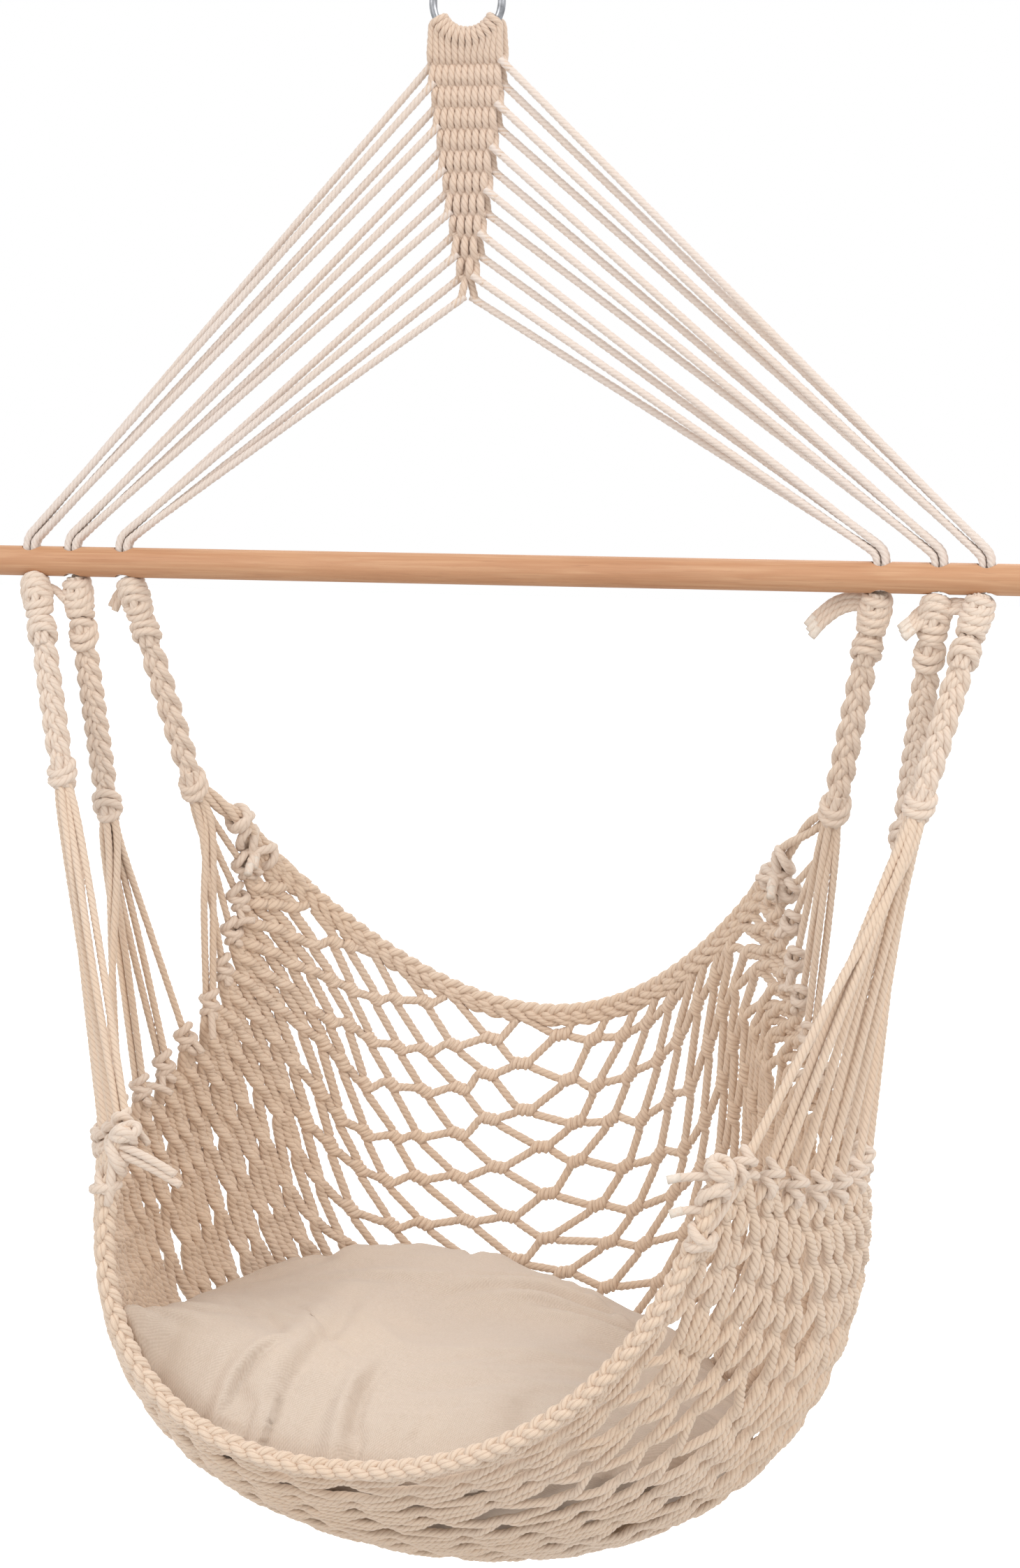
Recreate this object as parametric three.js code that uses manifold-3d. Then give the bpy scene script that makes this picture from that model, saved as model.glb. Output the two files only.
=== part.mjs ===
// A hanging hammock chair: a netted cotton seat with a loose cushion, under a wooden spreader bar that
// hangs by two fans of cord and a woven mat from a steel ring.
// Millimetres, +Z up. The origin is the point inside the top of the ring that rests on a hook.
// The seat faces -Y, and left and right are as seen from the front.
import * as THREE from "three";
import { mergeVertices } from "three/addons/utils/BufferGeometryUtils.js";
import Module from "manifold-3d";

// Cord
const cordDiameter = 5.8; // three-strand cotton cord
const cordSpare = 0.4; // between two cords that lie side by side
const fitGap = 0.3; // between two pieces that touch
const cordSides = 8;
const weldShare = 1e-5; // of a cord's diameter, within which two corners are one

// Ring
const ringOuter = 58;
const ringWire = 6;
const ringPlay = 0.6; // around the wire where the mat swings on it

// Woven mat between the ring and the cords
const matWidth = 58;
const matThickness = 14;
const matTipWidth = 11;
const matFirstExit = 45; // from the ring's centre down to the first pair of cords
const matRowPitch = 15.5;
const matRows = 12;
const matTaperShare = 1.25; // over 1 keeps the mat wide at first and draws it in towards the tip
const matRowOverlap = 1.6; // how far one row of the weave runs into the next
const eyeThickness = 20; // the rolled top edge that the ring passes through
const eyeWall = 5;
const eyeHalfAngle = 52; // degrees of the ring, to each side of its lowest point, that the eye covers
const cordBite = 5; // how far a cord's end sits inside the mat

// Spreader bar
const barLength = 800;
const barDiameter = 23;
const barChamfer = 1.5;
const barDrop = 437; // from the hook point down to the bar's centre line
const hangOffset = 18; // the bar and seat hang this far to the right of the ring
const holeInsets = [32, 66, 108]; // from the bar's ends to the front, middle and back holes
const bendRadius = 9; // of the inner cords where they turn down into a hole

const ringSwing = 15; // degrees that the mat swings on the ring to each side

// Knots and braids below the bar
const barKnotDiameter = 25;
const barKnotLength = 33;
const barNeckShare = 0.15; // of the knot's length, above which it is drawn in to a neck
// Places along a knot as shares of its length, each with its share of the knot's radius.
const barKnotShares = [
  [0.32, 0.9],
  [0.55, 1],
  [0.84, 0.85],
  [1, 0.6],
];
const neckDiameter = 15;
const braidDiameter = 19;
const braidKnotDiameter = 23;
const braidLumps = 4;
const braidKnotShares = [
  [0, 0.55],
  [0.3, 1],
  [0.7, 1],
  [1, 0.65],
];
const braidLumpShares = [
  [0.5, 1],
  [1, 0.75],
];
const lowerKnotDiameter = 23;
const lowerKnotLength = 25;
const lowerKnotShares = [
  [0, 0.62],
  [0.2, 0.95],
  [0.5, 1],
  [0.8, 0.95],
  [1, 0.62],
];
const knotReachShares = [0.37, 0.45, 0.585]; // of the way from a hole to the net, for the lower knots

// Cords from the lower knots to the net's side edges
const gatherDiameter = 16;
const gatherLength = 16;
const gatherShares = [
  [0, 0.8],
  [0.5, 1],
  [1, 0.6],
];
const edgeKnotDiameter = 14;
const edgeKnotTipShare = 0.45;
const frontCordShares = [0.03, 0.1, 0.165, 0.23, 0.295]; // places along a side edge, front to back
const middleCordShares = [0.365, 0.43, 0.495, 0.56, 0.625];
const backCordShares = [0.7, 0.77, 0.84, 0.905, 0.965];

// Net
const netHalfWidth = 294;
const netDepth = 380;
const netDrop = 755; // from the bar's centre line down to the lowest point of the net
const netThickness = 8;
const netStrand = 10; // width of two twisted cords
const netMeshesAcross = 12;
const netMeshesDeep = 9;
const netAside = 6; // the net hangs this far to the left of the bar's middle
const netLean = 60; // how much further to the left the middle of the front edge hangs
const netBulgeShare = 0.045;
const netWidestShare = 0.6; // of the way back, where the seat starts to flatten into the backrest
const netLeanEndShare = 0.35;
const netMostOpenShare = 0.78; // a strand keeps at least the rest of a mesh's half
// Points of a side edge and of the middle line from front to back, as shares of the half width,
// the depth and the drop.
const sideEdgeShares = [
  [0.76, -0.45, 0.528],
  [0.918, -0.266, 0.576],
  [1, -0.055, 0.576],
  [0.918, 0.076, 0.536],
  [0.829, 0.129, 0.483],
  [0.788, 0.168, 0.437],
  [0.726, 0.208, 0.311],
];
const middleLineShares = [
  [0, -0.503, 0.82],
  [0, -0.318, 0.931],
  [0, -0.055, 1],
  [0, 0.208, 0.971],
  [0, 0.397, 0.837],
  [0, 0.487, 0.673],
  [0, 0.5, 0.507],
];
const borderDiameter = 13;

// Cushion
const cushionFrontShare = 0.03; // along the net, from its front edge
const cushionMiddleShare = 0.3; // where it is widest
const cushionBackShare = 0.7;
const cushionHalfShare = 0.62; // across the net, of its half
const cushionAsideShare = -0.13; // it lies to the left of the net's middle line
const cushionCrown = 150;
const cushionSeam = 5;
const cushionCloth = 1.5;
const cushionGap = 2.4; // between the curve of the net's inner face and the cover
const cushionRoundShare = 0.88; // 0 has square corners and 1 has a round outline
const cushionUprightShare = 0.65; // how far its thickness leans from the net's to its own direction
const cushionCreaseShare = 0.1; // depth of the fold from front to back
const cushionCreaseWidthShare = 0.17;
const cushionCreaseSlantShare = 0.1;
const cushionHemShare = 0.6; // of the outermost strip of facets, that the seam takes up
const fillingGap = 0.8;
const zipHalfShare = 0.6;
const zipThickness = 1.8;
const zipInShare = 0.38; // of the seam's depth, from the filling outwards
const zipOutShare = 0.52;
const seamDepthShare = 1.5; // of the outermost strip of facets, to each side of the seam's edge
const cushionSteps = 10;

const cutOverrun = 2; // how far a cutter passes the face that it cuts

// Derived sizes
const ringRadius = (ringOuter - ringWire) / 2;
const ringCentre = -(ringRadius - ringWire / 2);
const barRadius = barDiameter / 2;
const cordRadius = cordDiameter / 2;
const cordPitch = cordDiameter + cordSpare;
const holeRadius = cordPitch / Math.SQRT2 + cordRadius + fitGap;
const holeSpans = holeInsets.map((inset) => barLength / 2 - inset); // from the bar's middle
const cordsPerHole = matRows / holeSpans.length;
const cushionHalf = netHalfWidth * cushionHalfShare;
const degree = Math.PI / 180;

const wasm = await Module();
wasm.setup();

// A closed geometry as a solid for cutting and joining.
function solid(geometry) {
  const bare = geometry.clone();
  bare.deleteAttribute("normal");
  bare.deleteAttribute("uv");
  const merged = mergeVertices(bare, cordDiameter * weldShare);
  return new wasm.Manifold(
    new wasm.Mesh({
      numProp: 3,
      vertProperties: merged.attributes.position.array,
      triVerts: new Uint32Array(merged.index.array),
    }),
  );
}

// A solid as a geometry to show.
function geometryOf(made) {
  const mesh = made.getMesh();
  return surface(mesh.vertProperties, mesh.triVerts);
}

// Flat lists of coordinates and corners as a geometry with normals.
function surface(positions, corners) {
  const geometry = new THREE.BufferGeometry();
  geometry.setAttribute("position", new THREE.Float32BufferAttribute(positions, 3));
  geometry.setIndex(new THREE.BufferAttribute(new Uint32Array(corners), 1));
  geometry.computeVertexNormals();
  return geometry;
}

const cotton = new THREE.MeshStandardMaterial({ color: 0xdbc3a8, roughness: 0.95, metalness: 0 });
const canvas = new THREE.MeshStandardMaterial({ color: 0xd5c5b5, roughness: 0.9, metalness: 0 });
const wadding = new THREE.MeshStandardMaterial({ color: 0xf2f0ea, roughness: 1, metalness: 0 });
const wood = new THREE.MeshStandardMaterial({ color: 0xc6976f, roughness: 0.6, metalness: 0 });
const steel = new THREE.MeshStandardMaterial({ color: 0x8d8f92, roughness: 0.3, metalness: 1 });
const nylon = new THREE.MeshStandardMaterial({ color: 0xcdbfae, roughness: 0.6, metalness: 0 });

// A named mesh in a group.
function place(group, name, geometry, material) {
  const mesh = new THREE.Mesh(geometry, material);
  mesh.name = name;
  group.add(mesh);
  return mesh;
}

// A line of straight runs between points. The section is set square at each point.
class CordRoute extends THREE.Curve {
  constructor(points) {
    super();
    this.points = points;
  }
  getPoint(t) {
    const last = this.points.length - 1;
    const at = Math.min(Math.floor(t * last + 1e-9), last - 1);
    return this.points[at].clone().lerp(this.points[at + 1], t * last - at);
  }
  getPointAt(t) {
    return this.getPoint(t);
  }
  getTangent(t) {
    const last = this.points.length - 1;
    const at = Math.round(t * last);
    const before = this.points[Math.max(at - 1, 0)];
    const here = this.points[at];
    const after = this.points[Math.min(at + 1, last)];
    const arriving = here.clone().sub(before).normalize();
    const leaving = after.clone().sub(here).normalize();
    return arriving.add(leaving).normalize();
  }
  getTangentAt(t) {
    return this.getTangent(t);
  }
}

// A round cord through points, with flat ends.
function cord(points, radius, sides = cordSides) {
  const section = new THREE.Shape();
  for (let k = 0; k < sides; k++) {
    const turn = (2 * Math.PI * k) / sides;
    const corner = [radius * Math.cos(turn), radius * Math.sin(turn)];
    if (k) section.lineTo(...corner);
    else section.moveTo(...corner);
  }
  const route = new CordRoute(points);
  return new THREE.ExtrudeGeometry(section, { steps: points.length - 1, extrudePath: route });
}

// A turned shape on a line: the profile lists distances along the line and radii.
function turned(from, direction, profile, sides) {
  const first = profile[0];
  const last = profile[profile.length - 1];
  const outline = [
    new THREE.Vector2(0, first[0]),
    ...profile.map(([along, radius]) => new THREE.Vector2(radius, along)),
    new THREE.Vector2(0, last[0]),
  ];
  const geometry = new THREE.LatheGeometry(outline, sides);
  const turn = new THREE.Quaternion().setFromUnitVectors(new THREE.Vector3(0, 1, 0), direction);
  geometry.applyQuaternion(turn);
  geometry.translate(from.x, from.y, from.z);
  return geometry;
}

// A skin through rings of points that all have the same count, closed at both ends.
function skin(rings) {
  const count = rings[0].length;
  const positions = rings.flat().flatMap((p) => [p.x, p.y, p.z]);
  const corners = [];
  for (let r = 0; r + 1 < rings.length; r++)
    for (let k = 0; k < count; k++) {
      const a = r * count + k;
      const b = r * count + ((k + 1) % count);
      corners.push(a, b, b + count, a, b + count, a + count);
    }
  const end = (rings.length - 1) * count;
  for (let k = 1; k + 1 < count; k++) {
    corners.push(0, k + 1, k);
    corners.push(end, end + k, end + k + 1);
  }
  return surface(positions, corners);
}

// Ring and woven mat

function hangingRing() {
  const geometry = new THREE.TorusGeometry(ringRadius, ringWire / 2, 8, 24);
  geometry.rotateX(Math.PI / 2);
  geometry.translate(0, 0, ringCentre);
  return geometry;
}

// The half width of the mat's row k, counted from the top.
function matHalf(k) {
  const drawn = Math.pow(k / (matRows - 1), matTaperShare);
  return matWidth / 2 - (drawn * (matWidth - matTipWidth)) / 2;
}

// The height at which the cords of row k leave the mat.
function exitHeight(k) {
  return ringCentre - matFirstExit - k * matRowPitch;
}

// The space that the ring's wire takes in the mat's eye while the mat swings on it.
function ringSlot() {
  const sides = 10;
  const steps = 14;
  const clear = (ringWire / 2 + ringPlay) / Math.cos(Math.PI / sides);
  const reach = 2 * eyeHalfAngle * degree;
  const rings = [];
  for (let s = 0; s <= steps; s++) {
    const turn = reach * ((2 * s) / steps - 1);
    const rise = ringRadius * (1 - Math.cos(turn));
    const ring = [];
    for (let k = 0; k < sides; k++) {
      const round = (2 * Math.PI * (k + 0.5)) / sides;
      const sway = Math.sign(Math.cos(round)) * rise * Math.sin(ringSwing * degree);
      const lift = rise * (1 - Math.cos(ringSwing * degree));
      const out = ringRadius - (clear + lift) * Math.sin(round);
      const across = sway + clear * Math.cos(round);
      ring.push(new THREE.Vector3(out * Math.sin(turn), across, ringCentre - out * Math.cos(turn)));
    }
    rings.push(ring);
  }
  return solid(skin(rings));
}

// The rolled top edge of the mat, an arc that follows the ring and ends in two rounded lobes.
function matEye() {
  const lobe = ringWire / 2 + ringPlay + eyeWall;
  const half = eyeHalfAngle * degree;
  const start = -Math.PI / 2 - half;
  const end = -Math.PI / 2 + half;
  const aside = ringRadius * Math.sin(half);
  const level = -ringRadius * Math.cos(half);
  const outline = new THREE.Shape();
  outline.absarc(0, 0, ringRadius + lobe, start, end, false);
  outline.absarc(aside, level, lobe, end, end + Math.PI, false);
  outline.absarc(0, 0, ringRadius - lobe, end, start, true);
  outline.absarc(-aside, level, lobe, start + Math.PI, start + 2 * Math.PI, false);
  const options = { depth: eyeThickness, bevelEnabled: false, curveSegments: 5 };
  const geometry = new THREE.ExtrudeGeometry(outline, options);
  geometry.translate(0, 0, -eyeThickness / 2);
  geometry.rotateX(Math.PI / 2);
  geometry.translate(0, 0, ringCentre);
  return solid(geometry);
}

// One row of the weave, as a flattened roll across the mat.
function matRow(k) {
  const half = matHalf(k);
  const tall = matRowPitch + matRowOverlap;
  const geometry = new THREE.CylinderGeometry(tall / 2, tall / 2, 2 * half, 8);
  geometry.rotateZ(Math.PI / 2);
  geometry.scale(1, matThickness / tall, 1);
  geometry.translate(0, 0, exitHeight(k) + matRowPitch / 2);
  return solid(geometry);
}

// Fan cords

// The route of the cord of row k on one side, from inside the mat to the bottom of its hole.
function fanRoute(side, k) {
  const hole = Math.floor(k / cordsPerHole);
  const inHole = k % cordsPerHole;
  const outerColumn = inHole < cordsPerHole / 2;
  const layer = side * (k % 2 ? 1 : -1) * (cordPitch / 2);
  const turnCentre = new THREE.Vector2(holeSpans[hole] - cordPitch / 2 - bendRadius, barRadius + fitGap);
  const radius = bendRadius + (outerColumn ? cordPitch : 0);
  // The bar's frame, folded onto the right-hand side.
  const start = new THREE.Vector2(matHalf(k) - side * hangOffset, exitHeight(k) + barDrop);
  const away = start.clone().sub(turnCentre);
  const touch = away.angle() - Math.acos(radius / away.length());
  const steps = 3;
  const flat = [];
  for (let s = 0; s <= steps; s++) {
    const angle = touch * (1 - s / steps);
    flat.push(new THREE.Vector2(radius, 0).rotateAround(new THREE.Vector2(), angle).add(turnCentre));
  }
  const inward = start.clone().sub(flat[0]).setLength(cordBite);
  flat.unshift(start.clone().add(inward));
  const bottom = Math.sqrt(barRadius ** 2 - (cordPitch / 2 + cordRadius) ** 2) - fitGap;
  flat.push(new THREE.Vector2(flat[flat.length - 1].x, -bottom));
  return flat.map((p) => new THREE.Vector3(side * p.x + hangOffset, layer, p.y - barDrop));
}

// The mat with its rows, the eye for the ring and a socket for each cord of the fans.
function wovenMat(routes) {
  let mat = matEye();
  for (let k = 0; k < matRows; k++) mat = mat.add(matRow(k));
  mat = mat.subtract(ringSlot());
  for (const route of routes)
    mat = mat.subtract(solid(cord(route.slice(0, 2), cordRadius + fitGap)));
  return geometryOf(mat);
}

// Spreader bar

function spreaderBar() {
  const half = barLength / 2;
  const profile = [
    [-half, barRadius - barChamfer],
    [-half + barChamfer, barRadius],
    [half - barChamfer, barRadius],
    [half, barRadius - barChamfer],
  ];
  const across = new THREE.Vector3(1, 0, 0);
  let bar = solid(turned(new THREE.Vector3(), across, profile, 24));
  const holeSides = 12;
  const wide = holeRadius / Math.cos(Math.PI / holeSides);
  for (const span of holeSpans)
    for (const side of [-1, 1]) {
      const drill = new THREE.CylinderGeometry(wide, wide, barDiameter + 2 * cutOverrun, holeSides);
      drill.rotateX(Math.PI / 2);
      drill.translate(side * span, 0, 0);
      bar = bar.subtract(solid(drill));
    }
  return geometryOf(bar);
}

// Net

function throughShares(shares) {
  const points = shares.map(
    ([across, deep, down]) =>
      new THREE.Vector3(across * netHalfWidth, deep * netDepth, -down * netDrop),
  );
  return new THREE.CatmullRomCurve3(points, false, "centripetal");
}

const sideEdge = throughShares(sideEdgeShares);
const middleLine = throughShares(middleLineShares);

// A point of the net's middle surface: u runs from the left edge at -1 to the right edge at 1, and v
// from the front edge at 0 to the back edge at 1.
function netPoint(u, v) {
  const back = THREE.MathUtils.smoothstep(v, netWidestShare, 1);
  const quarter = (Math.PI / 2) * u;
  const hanging = Math.sin(quarter) + netBulgeShare * Math.sin(2 * quarter);
  const rise = 1 - Math.cos(quarter) - (netBulgeShare / 2) * Math.sin(2 * quarter) ** 2;
  const across = THREE.MathUtils.lerp(hanging, u, back);
  const up = THREE.MathUtils.lerp(rise, u * u, back);
  const edge = sideEdge.getPointAt(v);
  const middle = middleLine.getPointAt(v);
  const lean = netLean * (1 - THREE.MathUtils.smoothstep(v, 0, netLeanEndShare));
  return new THREE.Vector3(
    edge.x * across - lean * (1 - u * u) - netAside,
    THREE.MathUtils.lerp(middle.y, edge.y, up),
    THREE.MathUtils.lerp(middle.z, edge.z, up),
  );
}

// The directions of the net at a point: along it to the right and to the back, out of it on the
// sitter's side, and in its plane square to the first two.
function netFrame(u, v) {
  const step = 1e-3;
  const inU = THREE.MathUtils.clamp(u, -1 + step, 1 - step);
  const inV = THREE.MathUtils.clamp(v, step, 1 - step);
  const right = netPoint(inU + step, inV).sub(netPoint(inU - step, inV)).normalize();
  const behind = netPoint(inU, inV + step).sub(netPoint(inU, inV - step)).normalize();
  const face = right.clone().cross(behind).normalize();
  const squareBehind = face.clone().cross(right);
  const squareRight = behind.clone().cross(face);
  return { right, behind, face, squareBehind, squareRight };
}

// The net as one sheet with a gap in each mesh, on a lattice of half meshes. Lattice points with an
// even sum are crossings of strands, and those with an odd sum are the middles of meshes.
class NetSheet {
  constructor() {
    this.wide = 2 * netMeshesAcross;
    this.deep = 2 * netMeshesDeep;
    this.positions = [];
    this.corners = [];
    this.known = new Map();
  }
  share(i, j) {
    return [(2 * i) / this.wide - 1, j / this.deep];
  }
  isMesh(i, j) {
    return i > 0 && j > 0 && i < this.wide && j < this.deep;
  }
  isOutside(i, j) {
    return i < 0 || j < 0 || i > this.wide || j > this.deep;
  }
  span(i, j, k, l) {
    return netPoint(...this.share(i, j)).distanceTo(netPoint(...this.share(k, l)));
  }
  // Two vertices, one on each face, for a place on the lattice. The first one's number is returned.
  vertex(i, j) {
    const key = i.toFixed(6) + " " + j.toFixed(6);
    if (this.known.has(key)) return this.known.get(key);
    const number = this.positions.length / 3;
    this.known.set(key, number);
    const [u, v] = this.share(i, j);
    const out = netFrame(u, v).face.multiplyScalar(netThickness / 2);
    const middle = netPoint(u, v);
    this.positions.push(...middle.clone().add(out).toArray(), ...middle.sub(out).toArray());
    return number;
  }
  // The corner of mesh (i, j) that points at its neighbour (i + di, j + dj).
  corner(i, j, di, dj) {
    if (!this.isMesh(i, j)) {
      const inI = THREE.MathUtils.clamp(i, 0, this.wide);
      const inJ = THREE.MathUtils.clamp(j, 0, this.deep);
      return this.vertex(inI, inJ);
    }
    const across = this.span(i - 1, j, i + 1, j) / 2;
    const along = this.span(i, j - 1, i, j + 1) / 2;
    const inset = ((netStrand / 2) * Math.hypot(across, along)) / (across * along);
    const open = 1 - Math.min(inset, netMostOpenShare);
    return this.vertex(i + di * open, j + dj * open);
  }
  // A patch of both faces, through vertices that run round it to the left on the sitter's side.
  patch(...ring) {
    const distinct = ring.filter((n, k) => n !== ring[(k + 1) % ring.length]);
    for (let k = 1; k + 1 < distinct.length; k++) {
      this.corners.push(distinct[0], distinct[k], distinct[k + 1]);
      this.corners.push(distinct[0] + 1, distinct[k + 1] + 1, distinct[k] + 1);
    }
  }
  // A wall between the faces, which have their strand to the left of the way from a to b.
  wall(a, b) {
    this.corners.push(a, a + 1, b + 1, a, b + 1, b);
  }
  meshWalls(i, j) {
    const turns = [
      [1, 0],
      [0, 1],
      [-1, 0],
      [0, -1],
    ];
    const ring = turns.map(([di, dj]) => this.corner(i, j, di, dj));
    ring.forEach((n, k) => this.wall(ring[(k + 1) % ring.length], n));
  }
  // The crossing at (i, j) and the two strands that leave it to the right.
  crossing(i, j) {
    const toward = (di, dj) =>
      this.isOutside(i + di, j + dj) ? this.vertex(i, j) : this.corner(i + di, j + dj, -di, -dj);
    this.patch(toward(1, 0), toward(0, 1), toward(-1, 0), toward(0, -1));
    if (i === this.wide) return;
    if (j < this.deep)
      this.patch(
        this.corner(i + 1, j, -1, 0),
        this.corner(i + 1, j, 0, 1),
        this.corner(i, j + 1, 1, 0),
        this.corner(i, j + 1, 0, -1),
      );
    if (j > 0)
      this.patch(
        this.corner(i, j - 1, 0, 1),
        this.corner(i, j - 1, 1, 0),
        this.corner(i + 1, j, 0, -1),
        this.corner(i + 1, j, -1, 0),
      );
  }
  rim() {
    for (let i = 0; i < this.wide; i++) {
      this.wall(this.vertex(i, 0), this.vertex(i + 1, 0));
      this.wall(this.vertex(i + 1, this.deep), this.vertex(i, this.deep));
    }
    for (let j = 0; j < this.deep; j++) {
      this.wall(this.vertex(0, j + 1), this.vertex(0, j));
      this.wall(this.vertex(this.wide, j), this.vertex(this.wide, j + 1));
    }
  }
  geometry() {
    for (let i = 0; i <= this.wide; i++)
      for (let j = 0; j <= this.deep; j++)
        if ((i + j) % 2 === 0) this.crossing(i, j);
        else if (this.isMesh(i, j)) this.meshWalls(i, j);
    this.rim();
    return surface(this.positions, this.corners);
  }
}

// The doubled cord along the front edge, at v = 0, or the back edge, at v = 1.
function borderRope(v) {
  const outward = v ? 1 : -1;
  const steps = 2 * netMeshesAcross;
  const points = [];
  for (let s = 0; s <= steps; s++) {
    const u = (2 * s) / steps - 1;
    const { squareBehind } = netFrame(u, v);
    points.push(netPoint(u, v).addScaledVector(squareBehind, outward * (borderDiameter / 2 + fitGap)));
  }
  return cord(points, borderDiameter / 2);
}

// Legs: the knots, braid and cords that hang from one hole of the bar

const legs = [
  { name: "front", shares: frontCordShares },
  { name: "middle", shares: middleCordShares },
  { name: "back", shares: backCordShares },
];

// The hole's centre, the leg's direction and how far along it the lower knot's middle is.
function legLine(side, index) {
  const hole = new THREE.Vector3(side * holeSpans[index], 0, 0);
  const { shares } = legs[index];
  const target = sideEdge.getPointAt(shares[Math.floor(shares.length / 2)]);
  target.x *= side;
  const whole = target.sub(hole);
  const reach = whole.length() * knotReachShares[index];
  return { hole, direction: whole.normalize(), reach };
}

// A profile of a lump that starts at a place along a line.
function lumpProfile(start, length, radius, shares) {
  return shares.map(([along, out]) => [start + along * length, out * radius]);
}

// The knot that stops the cords under the bar. Its top is hollowed to swing round the bar.
function barKnot(line) {
  const radius = barKnotDiameter / 2;
  const neck = neckDiameter / 2;
  const profile = [
    [0, neck],
    [barRadius + barNeckShare * barKnotLength, neck],
    ...lumpProfile(barRadius, barKnotLength, radius, barKnotShares),
  ];
  const knot = solid(turned(line.hole, line.direction, profile, 10));
  const barSides = 24;
  const clear = (barRadius + fitGap) / Math.cos(Math.PI / barSides);
  const bar = new THREE.CylinderGeometry(clear, clear, 2 * barKnotDiameter, barSides);
  bar.rotateZ(Math.PI / 2);
  bar.translate(line.hole.x, 0, 0);
  return geometryOf(knot.subtract(solid(bar)));
}

// The braid with the knot at its top. Each lump is one crossing of its strands.
function braid(line) {
  const start = barRadius + barKnotLength + fitGap;
  const end = line.reach - lowerKnotLength / 2 - fitGap;
  const knotLength = braidKnotDiameter;
  const profile = lumpProfile(start, knotLength, braidKnotDiameter / 2, braidKnotShares);
  const lump = (end - start - knotLength) / braidLumps;
  for (let k = 0; k < braidLumps; k++) {
    const from = start + knotLength + k * lump;
    profile.push(...lumpProfile(from, lump, braidDiameter / 2, braidLumpShares));
  }
  return turned(line.hole, line.direction, profile, 8);
}

// The knot that gathers a leg's cords.
function lowerKnot(line) {
  const start = line.reach - lowerKnotLength / 2;
  const radius = lowerKnotDiameter / 2;
  const profile = lumpProfile(start, lowerKnotLength, radius, lowerKnotShares);
  return turned(line.hole, line.direction, profile, 10);
}

// A point on the straight runs of the net's side edge between its outer meshes.
function sidePoint(side, share) {
  const deep = 2 * netMeshesDeep;
  const before = Math.min(Math.floor(share * deep), deep - 1);
  return netPoint(side, before / deep).lerp(netPoint(side, (before + 1) / deep), share * deep - before);
}

// One cord from a lower knot to the net's side edge, where it ends in a knot of its own.
function suspensionCord(side, from, share) {
  const wide = edgeKnotDiameter / 2;
  const tip = edgeKnotTipShare * wide;
  const rim = sidePoint(side, share);
  const out = netFrame(side, share).squareRight.multiplyScalar(side);
  // The knot stands clear of the net's rim, however aslant the cord comes to it.
  const straight = rim.clone().sub(from).normalize().dot(out);
  const slant = Math.sqrt(1 - straight * straight);
  const clear = fitGap + Math.max(tip * slant, wide * (slant + straight));
  const run = rim.clone().addScaledVector(out, clear).sub(from);
  const length = run.length();
  const profile = [
    [0, cordRadius],
    [length - 2 * wide, cordRadius],
    [length - wide, wide],
    [length, tip],
  ];
  return solid(turned(from, run.normalize(), profile, cordSides));
}

// The cords from a lower knot to the net's side edge.
function suspensionCords(side, line, shares) {
  const start = line.reach + lowerKnotLength / 2 + fitGap;
  const profile = lumpProfile(start, gatherLength, gatherDiameter / 2, gatherShares);
  let made = solid(turned(line.hole, line.direction, profile, 8));
  const from = line.hole.clone().addScaledVector(line.direction, start + gatherLength / 2);
  for (const share of shares) made = made.add(suspensionCord(side, from, share));
  return geometryOf(made);
}

// Cushion

// A point of the cushion: s and t run from -1 to 1 across and from front to back, and height is
// measured from the net's inner face. The top leans towards the direction of the cushion's middle.
function cushionPoint(s, t, height) {
  const reach = Math.abs((t < 0 ? cushionFrontShare : cushionBackShare) - cushionMiddleShare);
  const u = cushionAsideShare + cushionHalfShare * s * Math.sqrt(1 - (cushionRoundShare * t * t) / 2);
  const v = cushionMiddleShare + reach * t * Math.sqrt(1 - (cushionRoundShare * s * s) / 2);
  const { face } = netFrame(u, v);
  const up = netFrame(cushionAsideShare, cushionMiddleShare).face;
  const towards = face.clone().lerp(up, cushionUprightShare).normalize();
  const base = netThickness / 2 + cushionGap;
  return netPoint(u, v).addScaledVector(face, base).addScaledVector(towards, height);
}

// The thickness of the cushion at (s, t), with a fold pressed in that fades out towards the back.
function cushionThickness(s, t) {
  const round = Math.sqrt(Math.max((1 - s * s) * (1 - t * t), 0));
  const away = (s + cushionCreaseSlantShare * t) / cushionCreaseWidthShare;
  const fold = 1 - cushionCreaseShare * Math.exp(-away * away) * ((1 - t) / 2);
  return cushionSeam + (cushionCrown - cushionSeam) * round * fold;
}

// A place on the cushion's grid, from -1 to 1. Its lines lie closer near the edges, where it turns most.
function cushionLine(k) {
  return Math.sin(((2 * k) / cushionSteps - 1) * (Math.PI / 2));
}

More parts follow.
